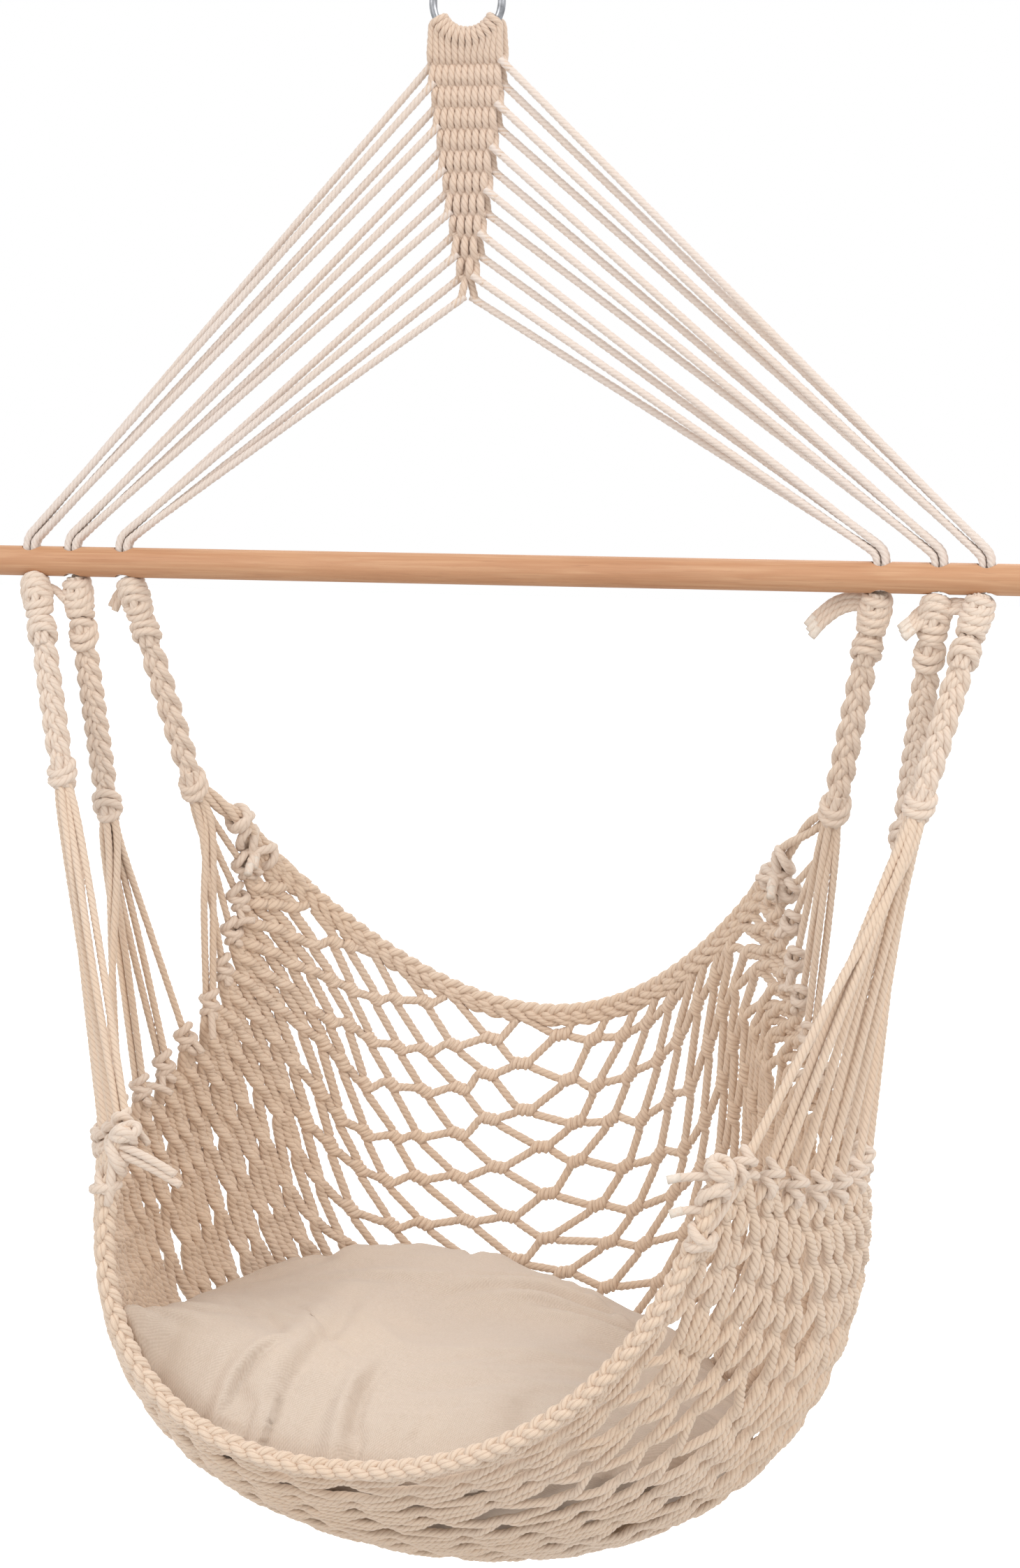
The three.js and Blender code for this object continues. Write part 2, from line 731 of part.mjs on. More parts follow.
// A closed cushion shape. Inset draws its top and bottom in, and hem its edge, as a share of the
// outermost strip of the grid.
function cushionShape(inset, hem) {
  const steps = cushionSteps;
  const across = steps + 1;
  const onGrid = (top, a, b) => {
    const s = cushionLine(a);
    const t = cushionLine(b);
    return cushionPoint(s, t, top ? cushionThickness(s, t) - inset : inset);
  };
  const between = (top, a, b) => {
    const inA = Math.min(Math.floor(a), steps - 1);
    const inB = Math.min(Math.floor(b), steps - 1);
    const front = onGrid(top, inA, inB).lerp(onGrid(top, inA + 1, inB), a - inA);
    const behind = onGrid(top, inA, inB + 1).lerp(onGrid(top, inA + 1, inB + 1), a - inA);
    return front.lerp(behind, b - inB);
  };
  const positions = [];
  for (const top of [0, 1])
    for (let a = 0; a <= steps; a++)
      for (let b = 0; b <= steps; b++) {
        const drawnA = THREE.MathUtils.clamp(a, hem, steps - hem);
        const drawnB = THREE.MathUtils.clamp(b, hem, steps - hem);
        positions.push(...between(top, drawnA, drawnB).toArray());
      }
  const corners = [];
  const node = (top, a, b) => top * across * across + a * across + b;
  for (let a = 0; a < steps; a++)
    for (let b = 0; b < steps; b++) {
      corners.push(node(1, a, b), node(1, a + 1, b), node(1, a + 1, b + 1));
      corners.push(node(1, a, b), node(1, a + 1, b + 1), node(1, a, b + 1));
      corners.push(node(0, a, b), node(0, a + 1, b + 1), node(0, a + 1, b));
      corners.push(node(0, a, b), node(0, a, b + 1), node(0, a + 1, b + 1));
    }
  const side = (a, b, c, d) => {
    corners.push(node(0, a, b), node(0, c, d), node(1, c, d));
    corners.push(node(0, a, b), node(1, c, d), node(1, a, b));
  };
  for (let k = 0; k < steps; k++) {
    side(k, 0, k + 1, 0);
    side(k + 1, steps, k, steps);
    side(0, k + 1, 0, k);
    side(steps, k, steps, k + 1);
  }
  return surface(positions, corners);
}

// A strip in the cushion's back seam with edges at some depths, which run from 1 outside the seam to 0
// in the filling. Its ends are drawn in by a length.
function seamStrip(drawnIn, depths, thickness) {
  const steps = 8;
  const reach = seamDepthShare * (1 - cushionLine(cushionSteps - 1));
  const low = (cushionSeam - thickness) / 2;
  const high = (cushionSeam + thickness) / 2;
  const at = (k, depth, height) => {
    const s = zipHalfShare * ((2 * k) / steps - 1);
    const within = cushionPoint(s, 1 - reach, height);
    return within.lerp(cushionPoint(s, 1 + reach, height), depth);
  };
  const facet = at(0, 1 / 2, low).distanceTo(at(1, 1 / 2, low));
  const rings = [];
  for (let k = 0; k <= steps; k++) {
    const before = Math.min(k, steps - 1);
    const along = THREE.MathUtils.clamp(k, drawnIn / facet, steps - drawnIn / facet) - before;
    const drawn = (depth, height) => at(before, depth, height).lerp(at(before + 1, depth, height), along);
    const top = depths.map((depth) => drawn(depth, high));
    const bottom = depths.map((depth) => drawn(depth, low));
    rings.push([...top, ...bottom.reverse()]);
  }
  return skin(rings);
}

function cushionCover() {
  const outer = solid(cushionShape(0, 0));
  const inner = solid(cushionShape(cushionCloth, cushionHemShare));
  const slot = solid(seamStrip(0, [1, zipOutShare, zipInShare, 0], zipThickness + 2 * fitGap));
  return geometryOf(outer.subtract(inner).subtract(slot));
}

function cushionFilling() {
  const strip = cushionHalf * (1 - cushionLine(cushionSteps - 1));
  return cushionShape(cushionCloth + fillingGap, cushionHemShare + fillingGap / strip);
}

function cushionZip() {
  return seamStrip(2 * fitGap, [zipOutShare, zipInShare], zipThickness);
}

// Assembly

const chair = new THREE.Group();
place(chair, "hanging_ring", hangingRing(), steel);

const sides = [
  { name: "left", side: -1 },
  { name: "right", side: 1 },
];
const fan = [];
for (const { name, side } of sides)
  for (let k = 0; k < matRows; k++) {
    const route = fanRoute(side, k);
    place(chair, "fan_cord_" + name + "_" + (k + 1), cord(route, cordRadius), cotton);
    fan.push(route);
  }
place(chair, "woven_mat", wovenMat(fan), cotton);

const hanging = new THREE.Group();
hanging.position.set(hangOffset, 0, -barDrop);
chair.add(hanging);
place(hanging, "spreader_bar", spreaderBar(), wood);
for (const { name, side } of sides)
  legs.forEach((leg, index) => {
    const line = legLine(side, index);
    const where = "_" + name + "_" + leg.name;
    place(hanging, "bar_knot" + where, barKnot(line), cotton);
    place(hanging, "braid" + where, braid(line), cotton);
    place(hanging, "lower_knot" + where, lowerKnot(line), cotton);
    place(hanging, "suspension_cords" + where, suspensionCords(side, line, leg.shares), cotton);
  });
place(hanging, "seat_net", new NetSheet().geometry(), cotton);
place(hanging, "front_border_rope", borderRope(0), cotton);
place(hanging, "back_border_rope", borderRope(1), cotton);
place(hanging, "cushion_cover", cushionCover(), canvas);
place(hanging, "cushion_filling", cushionFilling(), wadding);
place(hanging, "cushion_zip", cushionZip(), nylon);

export default chair;
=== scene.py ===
"""The looks of the hanging hammock chair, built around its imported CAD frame.

The frame is in metres with +Z up, its origin inside the top of the hanging ring. The seat faces -Y.
"""

import logging
import math
from dataclasses import dataclass, field
from enum import Enum
from typing import Union

import bpy
import numpy as np
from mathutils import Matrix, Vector
from mathutils.kdtree import KDTree

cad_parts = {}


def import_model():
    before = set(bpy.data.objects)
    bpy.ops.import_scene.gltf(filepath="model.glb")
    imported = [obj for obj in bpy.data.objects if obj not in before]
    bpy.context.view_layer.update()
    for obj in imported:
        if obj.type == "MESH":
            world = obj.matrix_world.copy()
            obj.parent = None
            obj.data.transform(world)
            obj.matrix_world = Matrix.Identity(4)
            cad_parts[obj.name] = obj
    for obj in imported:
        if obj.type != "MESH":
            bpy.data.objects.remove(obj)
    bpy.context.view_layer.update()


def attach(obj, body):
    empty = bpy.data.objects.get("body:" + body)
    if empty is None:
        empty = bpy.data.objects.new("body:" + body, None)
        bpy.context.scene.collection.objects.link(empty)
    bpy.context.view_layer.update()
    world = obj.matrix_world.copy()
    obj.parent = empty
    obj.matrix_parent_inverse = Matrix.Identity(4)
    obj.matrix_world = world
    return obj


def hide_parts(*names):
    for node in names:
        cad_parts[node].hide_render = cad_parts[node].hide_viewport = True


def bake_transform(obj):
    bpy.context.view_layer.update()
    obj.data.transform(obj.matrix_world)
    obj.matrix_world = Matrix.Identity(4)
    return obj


log = logging.getLogger("scene")

# Named sizes of the CAD source, in metres.
CORD = 0.0058
CORD_PITCH = 0.0062
RING_RADIUS = 0.026
RING_WIRE = 0.006
RING_CENTRE = -0.023
MAT_WIDTH = 0.058
MAT_TIP = 0.011
MAT_FIRST_EXIT = 0.045
MAT_PITCH = 0.0155
MAT_ROWS = 12
MAT_TAPER = 1.25
BAR_LENGTH = 0.8
BAR_RADIUS = 0.0115
BAR_CHAMFER = 0.0015
BAR_DROP = 0.437
HANG_OFFSET = 0.018
HOLE_SPANS = (0.368, 0.334, 0.292)
HOLE_RADIUS = 0.00758
BEND_RADIUS = 0.009
BAR_KNOT_LENGTH = 0.033
BRAID_KNOT_LENGTH = 0.023
LOWER_KNOT_LENGTH = 0.025
KNOT_REACH = (0.37, 0.45, 0.585)
EDGE_SHARES = (
    (0.03, 0.1, 0.165, 0.23, 0.295),
    (0.365, 0.43, 0.495, 0.56, 0.625),
    (0.7, 0.77, 0.84, 0.905, 0.965),
)
BORDER_RADIUS = 0.0065
CLEAR = 0.0003

SEAT_ORIGIN = np.array([HANG_OFFSET, 0.0, -BAR_DROP])

Array = np.ndarray
Place = tuple[float, float, float]
Colour = tuple[int, int, int]
Object = bpy.types.Object
Material = bpy.types.Material
Socket = bpy.types.NodeSocket
Input = Union[Socket, float, tuple[float, ...]]

TURN = 2 * math.pi


class Body(Enum):
    """The bodies of the CAD part."""

    RING = "ring"
    HARNESS = "harness"
    SEAT = "seat"
    CUSHION = "cushion"


class Slot(Enum):
    """The material slots."""

    COTTON = "cotton"
    WOOD = "wood"
    STEEL = "steel"
    CANVAS = "canvas"
    ZIP = "zip"


@dataclass(frozen=True)
class Bend:
    """A bend from another body to a piece's own. Only whether one is given is read.

    Args:
        other: Not used.
        start: Not used.
        end: Not used.
    """

    other: Body
    start: Place
    end: Place


def vec(*values: float) -> Array:
    """A point or direction as an array."""
    return np.array(values, float)


def unit(a: Array) -> Array:
    """The direction of a vector, or of each row."""
    length = np.linalg.norm(a, axis=-1, keepdims=True)
    return a / np.maximum(length, 1e-12)


def smoothstep(x: Array, low: float, high: float) -> Array:
    """0 below low, 1 above high and a smooth rise between."""
    t = np.clip((np.asarray(x, float) - low) / (high - low), 0, 1)
    return t * t * (3 - 2 * t)


# ---- curves


def run_along(points: Array) -> Array:
    """The distance run at each point of a polyline."""
    return np.concatenate([[0], np.cumsum(np.linalg.norm(np.diff(points, axis=0), axis=1))])


def at_ends(share: Array, reach: float) -> Array:
    """1 at both ends of a run of shares, and 0 between them."""
    return smoothstep(-share, -reach, 0) + smoothstep(share, 1 - reach, 1)


def around(angle: Array, first: Array, second: Array) -> Array:
    """A direction that turns from the first towards the second."""
    return np.cos(angle) * first + np.sin(angle) * second


class Spline:
    """A centripetal Catmull-Rom curve through points, measured by share of its length."""

    def __init__(self, points: Array, steps: int = 24) -> None:
        """Builds the curve.

        Args:
            points: What it passes through.
            steps: Samples in each span.
        """
        p = np.asarray(points, float)
        ends = np.concatenate([[2 * p[0] - p[1]], p, [2 * p[-1] - p[-2]]])
        t = np.linspace(0, 1, steps, endpoint=False)[:, None]
        out = []
        for k in range(len(p) - 1):
            p0, p1, p2, p3 = ends[k : k + 4]
            spans = ((p0, p1), (p1, p2), (p2, p3))
            d0, d1, d2 = (max(np.linalg.norm(b - a) ** 0.5, 1e-6) for a, b in spans)
            m1 = ((p1 - p0) / d0 - (p2 - p0) / (d0 + d1) + (p2 - p1) / d1) * d1
            m2 = ((p2 - p1) / d1 - (p3 - p1) / (d1 + d2) + (p3 - p2) / d2) * d1
            square = 3 * (p2 - p1) - 2 * m1 - m2
            cube = 2 * (p1 - p2) + m1 + m2
            out.append(p1 + m1 * t + square * t**2 + cube * t**3)
        out.append(p[-1:])
        self.points = np.concatenate(out)
        run = run_along(self.points)
        self.length = float(run[-1])
        self.shares = run / run[-1]

    def at(self, share: Array) -> Array:
        """Points at shares of the length."""
        share = np.asarray(share, float)
        return np.stack([np.interp(share, self.shares, self.points[:, k]) for k in range(3)], -1)


def soften(points: Array, passes: int) -> Array:
    """Eases a polyline's corners by a moving average. Its ends stay.

    Args:
        points: Places along the line.
        passes: How often to average.

    Returns:
        The eased places.
    """
    p = points.copy()
    for _ in range(passes):
        p[1:-1] = 0.25 * p[:-2] + 0.5 * p[1:-1] + 0.25 * p[2:]
    return p


# ---- the draped net's surface

NET_HALF, NET_DEPTH, NET_DROP = 0.294, 0.380, 0.755
NET_ASIDE, NET_LEAN, NET_BULGE = 0.006, 0.060, 0.045
SIDE_EDGE = (
    (0.76, -0.45, 0.528), (0.918, -0.266, 0.576), (1, -0.055, 0.576), (0.918, 0.076, 0.536),
    (0.829, 0.129, 0.483), (0.788, 0.168, 0.437), (0.726, 0.208, 0.311),
)  # fmt: skip
MIDDLE_LINE = (
    (0, -0.503, 0.848), (0, -0.318, 0.94), (0, -0.055, 1), (0, 0.208, 0.971),
    (0, 0.397, 0.837), (0, 0.487, 0.673), (0, 0.5, 0.507),
)  # fmt: skip


# Just inside the net's side edge, where its directions are taken.
EDGE_U = 0.999


class Drape:
    """The curved surface on which the net hangs: u across from -1 to 1 and v from front to back."""

    def __init__(self) -> None:
        """Builds the side edge and the middle line."""
        scale = vec(NET_HALF, NET_DEPTH, -NET_DROP)
        self.edge = Spline(np.array(SIDE_EDGE) * scale, 120)
        self.middle = Spline(np.array(MIDDLE_LINE) * scale, 120)

    def point(self, u: Array, v: Array) -> Array:
        """Places on the surface, in the frame.

        Args:
            u: Share across, from -1 to 1.
            v: Share from front to back, from 0 to 1.

        Returns:
            The places.
        """
        u, v = np.broadcast_arrays(np.asarray(u, float), np.asarray(v, float))
        back = smoothstep(v, 0.6, 1)
        q = math.pi / 2 * u
        hanging = np.sin(q) + NET_BULGE * np.sin(2 * q)
        rise = 1 - np.cos(q) - NET_BULGE / 2 * np.sin(2 * q) ** 2
        across = hanging + (u - hanging) * back
        up = rise + (u * u - rise) * back
        e, m = self.edge.at(v), self.middle.at(v)
        lean = NET_LEAN * (1 - smoothstep(v, 0, 0.35))
        x = e[..., 0] * across - lean * (1 - u * u) - NET_ASIDE
        y = m[..., 1] + (e[..., 1] - m[..., 1]) * up
        z = m[..., 2] + (e[..., 2] - m[..., 2]) * up
        return np.stack([x, y, z], -1) + SEAT_ORIGIN

    def frame(self, u: Array, v: Array) -> tuple[Array, Array, Array]:
        """Directions on the surface.

        Args:
            u: Share across.
            v: Share from front to back.

        Returns:
            Directions to the right, to the back and out on the sitter's side.
        """
        step = 1e-3
        u = np.clip(np.asarray(u, float), -1 + step, 1 - step)
        v = np.clip(np.asarray(v, float), step, 1 - step)
        right = unit(self.point(u + step, v) - self.point(u - step, v))
        behind = unit(self.point(u, v + step) - self.point(u, v - step))
        return right, behind, unit(np.cross(right, behind))


# ---- meshes


def in_scene(made: Object) -> Object:
    """An object, linked to the scene."""
    bpy.context.scene.collection.objects.link(made)
    return made


class MeshData:
    """Vertices, faces and UVs collected for one piece."""

    def __init__(self) -> None:
        """Starts empty."""
        self.verts: list[Array] = []
        self.quads: list[Array] = []
        self.uvs: list[Array] = []
        self.tris: list[Array] = []
        self.tri_uvs: list[Array] = []
        self.count = 0

    def add(self, verts: Array, quads: Array, uvs: Array, tris: Array, tri_uvs: Array) -> None:
        """Adds one closed shape, whose corner numbers start at 0.

        Args:
            verts: Its corners.
            quads: Corner numbers of its quads.
            uvs: Their UVs.
            tris: Those of its triangles.
            tri_uvs: Their UVs.
        """
        self.verts.append(verts)
        self.quads.append(quads + self.count)
        self.uvs.append(uvs)
        self.tris.append(tris + self.count)
        self.tri_uvs.append(tri_uvs)
        self.count += len(verts)

    def build(self, name: str) -> Object:
        """Makes the object, smooth shaded.

        Args:
            name: Name of the piece.

        Returns:
            The object, in the scene.
        """
        verts = np.concatenate(self.verts)
        quads = np.concatenate(self.quads)
        tris = np.concatenate(self.tris)
        uvs = np.concatenate([a.reshape(-1, 2) for a in (*self.uvs, *self.tri_uvs)])
        mesh = bpy.data.meshes.new(name)
        mesh.vertices.add(len(verts))
        mesh.vertices.foreach_set("co", verts.astype(np.float32).ravel())
        loops = np.concatenate([quads.ravel(), tris.ravel()])
        mesh.loops.add(len(loops))
        mesh.loops.foreach_set("vertex_index", loops.astype(np.int32))
        totals = np.concatenate([np.full(len(quads), 4), np.full(len(tris), 3)])
        mesh.polygons.add(len(totals))
        starts = np.concatenate([[0], np.cumsum(totals)[:-1]])
        mesh.polygons.foreach_set("loop_start", starts.astype(np.int32))
        mesh.polygons.foreach_set("loop_total", totals.astype(np.int32))
        mesh.polygons.foreach_set("use_smooth", np.ones(len(totals), bool))
        layer = mesh.uv_layers.new(name="lay")
        layer.data.foreach_set("uv", uvs.astype(np.float32).ravel())
        mesh.update(calc_edges=True)
        mesh.validate()
        return in_scene(bpy.data.objects.new(name, mesh))


@dataclass(frozen=True)
class Lay:
    """How a cord's strands are laid up.

    Args:
        radius: Radius of the cord in metres.
        strands: Strands in the cord.
        lay: Length of one turn.
        depth: Depth of the grooves as a share of the radius.
        step: Distance between two rings of the mesh.
    """

    radius: float = CORD / 2
    strands: int = 4
    lay: float = 0.0185
    depth: float = 0.17
    step: float = 0.0014

    def section(self) -> tuple[Array, Array]:
        """One section of the cord, with three corners to a strand.

        Returns:
            Angles and radii of the corners.
        """
        each = TURN / self.strands
        corners = each * np.array([-0.5, -0.17, 0.17])
        angle = np.concatenate([k * each + corners for k in range(self.strands)])
        out = np.tile([1 - self.depth, 1.0, 1.0], self.strands) * self.radius
        return angle, out


TAUT = Lay()
WOVEN = Lay(lay=0.019, depth=0.16, step=0.0012)
SLACK = Lay(radius=0.0034, lay=0.0215, depth=0.18, step=0.0017)
SOFT = Lay(radius=0.0034, lay=0.0220, depth=0.13, step=0.0016)
KNOTTED = Lay(radius=0.0037, lay=0.0235, depth=0.13, step=0.0016)
PLAITED = Lay(radius=0.0037, lay=0.0235, depth=0.16, step=0.0016)
TAPE = Lay(radius=0.0033, lay=0.5, depth=0.03, step=0.002)
ZIP_COIL = Lay(radius=0.0013, strands=3, lay=0.0026, depth=0.3, step=0.0006)


def frames_along(p: Array) -> tuple[Array, Array]:
    """Two directions square to a polyline at each place, without twist.

    Args:
        p: Places along the line.

    Returns:
        The first and the second direction.
    """
    t = np.empty_like(p)
    t[1:-1] = p[2:] - p[:-2]
    t[0], t[-1] = p[1] - p[0], p[-1] - p[-2]
    t = unit(t)
    start = vec(0, 0, 1) if abs(t[0][2]) < 0.9 else vec(1, 0, 0)
    a = np.cross(t[0], start)
    ax, ay, az = (a / np.linalg.norm(a)).tolist()
    rows = []
    for tx, ty, tz in t.tolist():
        dot = ax * tx + ay * ty + az * tz
        ax, ay, az = ax - dot * tx, ay - dot * ty, az - dot * tz
        size = math.sqrt(ax * ax + ay * ay + az * az) or 1.0
        ax, ay, az = ax / size, ay / size, az / size
        rows.append((ax, ay, az))
    first = np.array(rows)
    return first, np.cross(t, first)


# The unevenness of hand-laid cotton: size, waves per metre and shift of two slow waves of a cord's
# radius, then the looseness of its fibres as a share of the radius.
UNEVEN = ((0.022, 410, 3), (0.016, 930, 5))
LOOSE = 0.022
TURN_BETWEEN_CORDS = 1.7


class Ropes(MeshData):
    """Cords collected into one piece."""

    def __init__(self, lay: Lay = Lay()) -> None:
        """Starts without cords.

        Args:
            lay: How the cords are laid up.
        """
        super().__init__()
        self.lay = lay
        self.metres = 0.0
        self.turn = 0.0

    def cord(self, points: Array, swell: Array | float = 1.0, smooth: int = 0) -> None:
        """Adds a cord along a polyline.

        Args:
            points: Places of its middle.
            swell: Factor on its radius there.
            smooth: Easing passes.
        """
        points = np.asarray(points, float)
        run = run_along(points)
        rings = max(int(run[-1] / self.lay.step), 3) + 1
        at = np.linspace(0, run[-1], rings)
        p = np.stack([np.interp(at, run, points[:, k]) for k in range(3)], -1)
        size = np.interp(at, run, np.broadcast_to(swell, len(points)))
        p = soften(p, smooth)
        self.metres += float(run[-1])
        first, second = frames_along(p)
        angle, out = self.lay.section()
        self.turn += TURN_BETWEEN_CORDS
        phase = self.turn - TURN * at / self.lay.lay
        turned = angle[None, :] + phase[:, None]
        uneven = 1 + sum(part * np.sin(at * rate + shift * self.turn) for part, rate, shift in UNEVEN)
        loose = np.random.default_rng(int(10 * self.turn)).uniform(-LOOSE, LOOSE, turned.shape)
        radius = (out[None, :] * (size * uneven)[:, None] * (1 + loose))[..., None]
        ways = around(turned[..., None], first[:, None, :], second[:, None, :])
        self.skin(p[:, None, :] + radius * ways, at)

    def skin(self, ring: Array, at: Array) -> None:
        """Adds a closed tube.

        Args:
            ring: Rings of corners.
            at: Their places along the tube.
        """
        rings, sides = ring.shape[:2]
        verts = np.concatenate([ring.reshape(-1, 3), ring[:1].mean(1), ring[-1:].mean(1)])
        i, k = np.meshgrid(np.arange(rings - 1), np.arange(sides), indexing="ij")
        k2 = (k + 1) % sides
        quads = np.stack([i * sides + k, i * sides + k2, (i + 1) * sides + k2, (i + 1) * sides + k], -1)
        u0, u1, v0, v1 = k / 3, (k + 1) / 3, at[i] * 100, at[i + 1] * 100
        uvs = np.stack([u0, v0, u1, v0, u1, v1, u0, v1], -1).reshape(-1, 2)
        c = np.arange(sides)
        c2 = (c + 1) % sides
        last = (rings - 1) * sides
        start_cap = np.stack([np.full(sides, rings * sides), c2, c], -1)
        end_cap = np.stack([np.full(sides, rings * sides + 1), last + c, last + c2], -1)
        tris = np.concatenate([start_cap, end_cap])
        self.add(verts, quads.reshape(-1, 4), uvs, tris, np.full((len(tris) * 3, 2), 0.5))

    def finish(
        self, name: str, material: Material, *nodes: str, body: Body = Body.SEAT, bend: Bend | None = None
    ) -> None:
        """Makes the cotton piece of the cords.

        Args:
            name: Name of the piece.
            material: Its material.
            nodes: CAD nodes that it replaces.
            body: Body that it moves with.
            bend: If given, the piece stays in the frame, attached to no body.
        """
        finish_piece(self.build(name), material, body, Slot.COTTON, *nodes, bend=bend)


# ---- materials


class Nodes:
    """A small helper that fills a node tree."""

    def __init__(self, tree: bpy.types.NodeTree) -> None:
        """Takes a node tree and empties it."""
        tree.nodes.clear()
        self.tree = tree

    def node(self, kind: str, values: dict | None = None, **settings: object) -> bpy.types.Node:
        """Adds a node.

        Args:
            kind: Type of the node.
            values: Inputs by name or number. A socket is linked.
            settings: Properties of the node.

        Returns:
            The node.
        """
        made = self.tree.nodes.new(kind)
        for key, value in settings.items():
            setattr(made, key, value)
        for key, value in (values or {}).items():
            self.feed(made.inputs[key], value)
        return made

    def feed(self, socket: Socket, value: Input) -> None:
        """Gives a socket its value, or links it to the socket that holds the value."""
        if isinstance(value, Socket):
            self.tree.links.new(value, socket)
        else:
            socket.default_value = value

    def math(self, operation: str, a: Input, b: Input = 0.0) -> Socket:
        """The result of a Math node."""
        return self.node("ShaderNodeMath", {0: a, 1: b}, operation=operation).outputs[0]

    def times_add(self, a: Input, b: float, c: float) -> Socket:
        """The value of a times b, plus c."""
        return self.node("ShaderNodeMath", {0: a, 1: b, 2: c}, operation="MULTIPLY_ADD").outputs[0]

    def mix(self, share: Input, a: Input, b: Input) -> Socket:
        """Mixes two colours.

        Args:
            share: Share of the second colour.
            a: First colour.
            b: Second colour.

        Returns:
            The mixed colour.
        """
        made = self.node("ShaderNodeMix", data_type="RGBA")
        for name, kind, value in (("Factor", "VALUE", share), ("A", "RGBA", a), ("B", "RGBA", b)):
            self.feed(next(s for s in made.inputs if s.name == name and s.type == kind), value)
        return next(s for s in made.outputs if s.type == "RGBA")

    def part(self, mask: Input, strength: float, a: Input, b: Input) -> Socket:
        """A colour that goes from a towards b by a mask times a strength."""
        return self.mix(self.math("MULTIPLY", mask, strength), a, b)

    def scaled(self, where: Input, scale: Place) -> Socket:
        """Coordinates stretched by a factor along each axis."""
        return self.node("ShaderNodeMapping", {0: where, 3: scale}).outputs[0]

    def bump(self, strength: float, distance: float, height: Input) -> Socket:
        """The normal of a bumpy surface."""
        values = {"Strength": strength, "Distance": distance, "Height": height}
        return self.node("ShaderNodeBump", values).outputs[0]

    def noise(self, where: Input, scale: float, detail: float = 3.0, rough: float = 0.55) -> Socket:
        """A noise value from 0 to 1."""
        values = {"Vector": where, "Scale": scale, "Detail": detail, "Roughness": rough}
        return self.node("ShaderNodeTexNoise", values).outputs[0]

    def ramp(self, value: Input, low: float, high: float) -> Socket:
        """0 to 1 as a value goes from low to high."""
        return self.node("ShaderNodeMapRange", {0: value, 1: low, 2: high}).outputs[0]

    def object_place(self) -> Socket:
        """Places in the object's own coordinates."""
        return self.node("ShaderNodeTexCoord").outputs["Object"]


def linear(r: int, g: int, b: int) -> tuple[float, float, float, float]:
    """A screen colour from 0 to 255 as a linear one."""
    parts = [c / 255 for c in (r, g, b)]
    return tuple(c / 12.92 if c <= 0.04045 else ((c + 0.055) / 1.055) ** 2.4 for c in parts) + (1.0,)


@dataclass(frozen=True)
class Finish:
    """A material.

    Args:
        name: Name of the material.
        roughness: Roughness of the surface.
    """

    name: str
    roughness: float

    def start(self) -> tuple[Material, Nodes]:
        """Starts the material.

        Returns:
            The new material and its emptied nodes.
        """
        made = bpy.data.materials.new(self.name)
        made.use_nodes = True
        return made, Nodes(made.node_tree)

    def close(
        self,
        nodes: Nodes,
        colour: Input,
        normal: Socket,
        rough: Input | None = None,
        metallic: float = 0.0,
        sheen: float = 0.0,
    ) -> None:
        """Adds the surface shader.

        Args:
            nodes: Nodes to add to.
            colour: Base colour.
            normal: Normal of the surface.
            rough: Roughness, where it varies.
            metallic: Metal share.
            sheen: Strength of the sheen.
        """
        values = {
            "Base Color": colour,
            "Roughness": self.roughness if rough is None else rough,
            "Metallic": metallic,
            "Sheen Weight": sheen,
            "Sheen Roughness": 0.6,
            "Normal": normal,
        }
        shader = nodes.node("ShaderNodeBsdfPrincipled", values)
        nodes.node("ShaderNodeOutputMaterial", {"Surface": shader.outputs[0]})


def strand_group() -> bpy.types.NodeTree:
    """The shared look of laid cotton, from the UVs of the lay.

    Returns:
        A group with masks of the painted shade in the grooves and between yarns, of fibres, and a height.
    """
    group = bpy.data.node_groups.new("laid_strands", "ShaderNodeTree")
    for name in ("Groove shade", "Height", "Fibre", "Yarn shade"):
        group.interface.new_socket(name, in_out="OUTPUT", socket_type="NodeSocketFloat")
    n = Nodes(group)
    uv = n.node("ShaderNodeUVMap", uv_map="lay")
    split = n.node("ShaderNodeSeparateXYZ", {0: uv.outputs[0]})
    u, v = split.outputs[0], split.outputs[1]
    across = n.math("FRACT", u)
    edge = n.math("MULTIPLY", n.math("ABSOLUTE", n.math("SUBTRACT", across, 0.5)), 2.0)
    # Where the grooves between strands lie, which get painted shade.
    groove_shade = n.ramp(edge, 0.66, 0.98)
    slant = n.math("ADD", n.times_add(across, 4.0, 0.0), n.math("MULTIPLY", v, 1.6))
    ply = n.math("ABSOLUTE", n.math("SINE", n.math("MULTIPLY", slant, math.pi)))
    place = {0: n.math("MULTIPLY", u, 3.0), 1: n.math("MULTIPLY", v, 1.4), 2: 0.0}
    fibre = n.noise(n.node("ShaderNodeCombineXYZ", place).outputs[0], 5.0, 4.0, 0.65)
    height = n.math("ADD", n.math("MULTIPLY", ply, 0.55), n.math("MULTIPLY", fibre, 0.9))
    out = n.node("NodeGroupOutput")
    # Where the thin lines between yarns lie, which get painted shade.
    between = n.ramp(ply, 0.45, 0.0)
    for name, value in (("Groove shade", groove_shade), ("Height", height), ("Fibre", fibre), ("Yarn shade", between)):
        group.links.new(value, out.inputs[name])
    return group


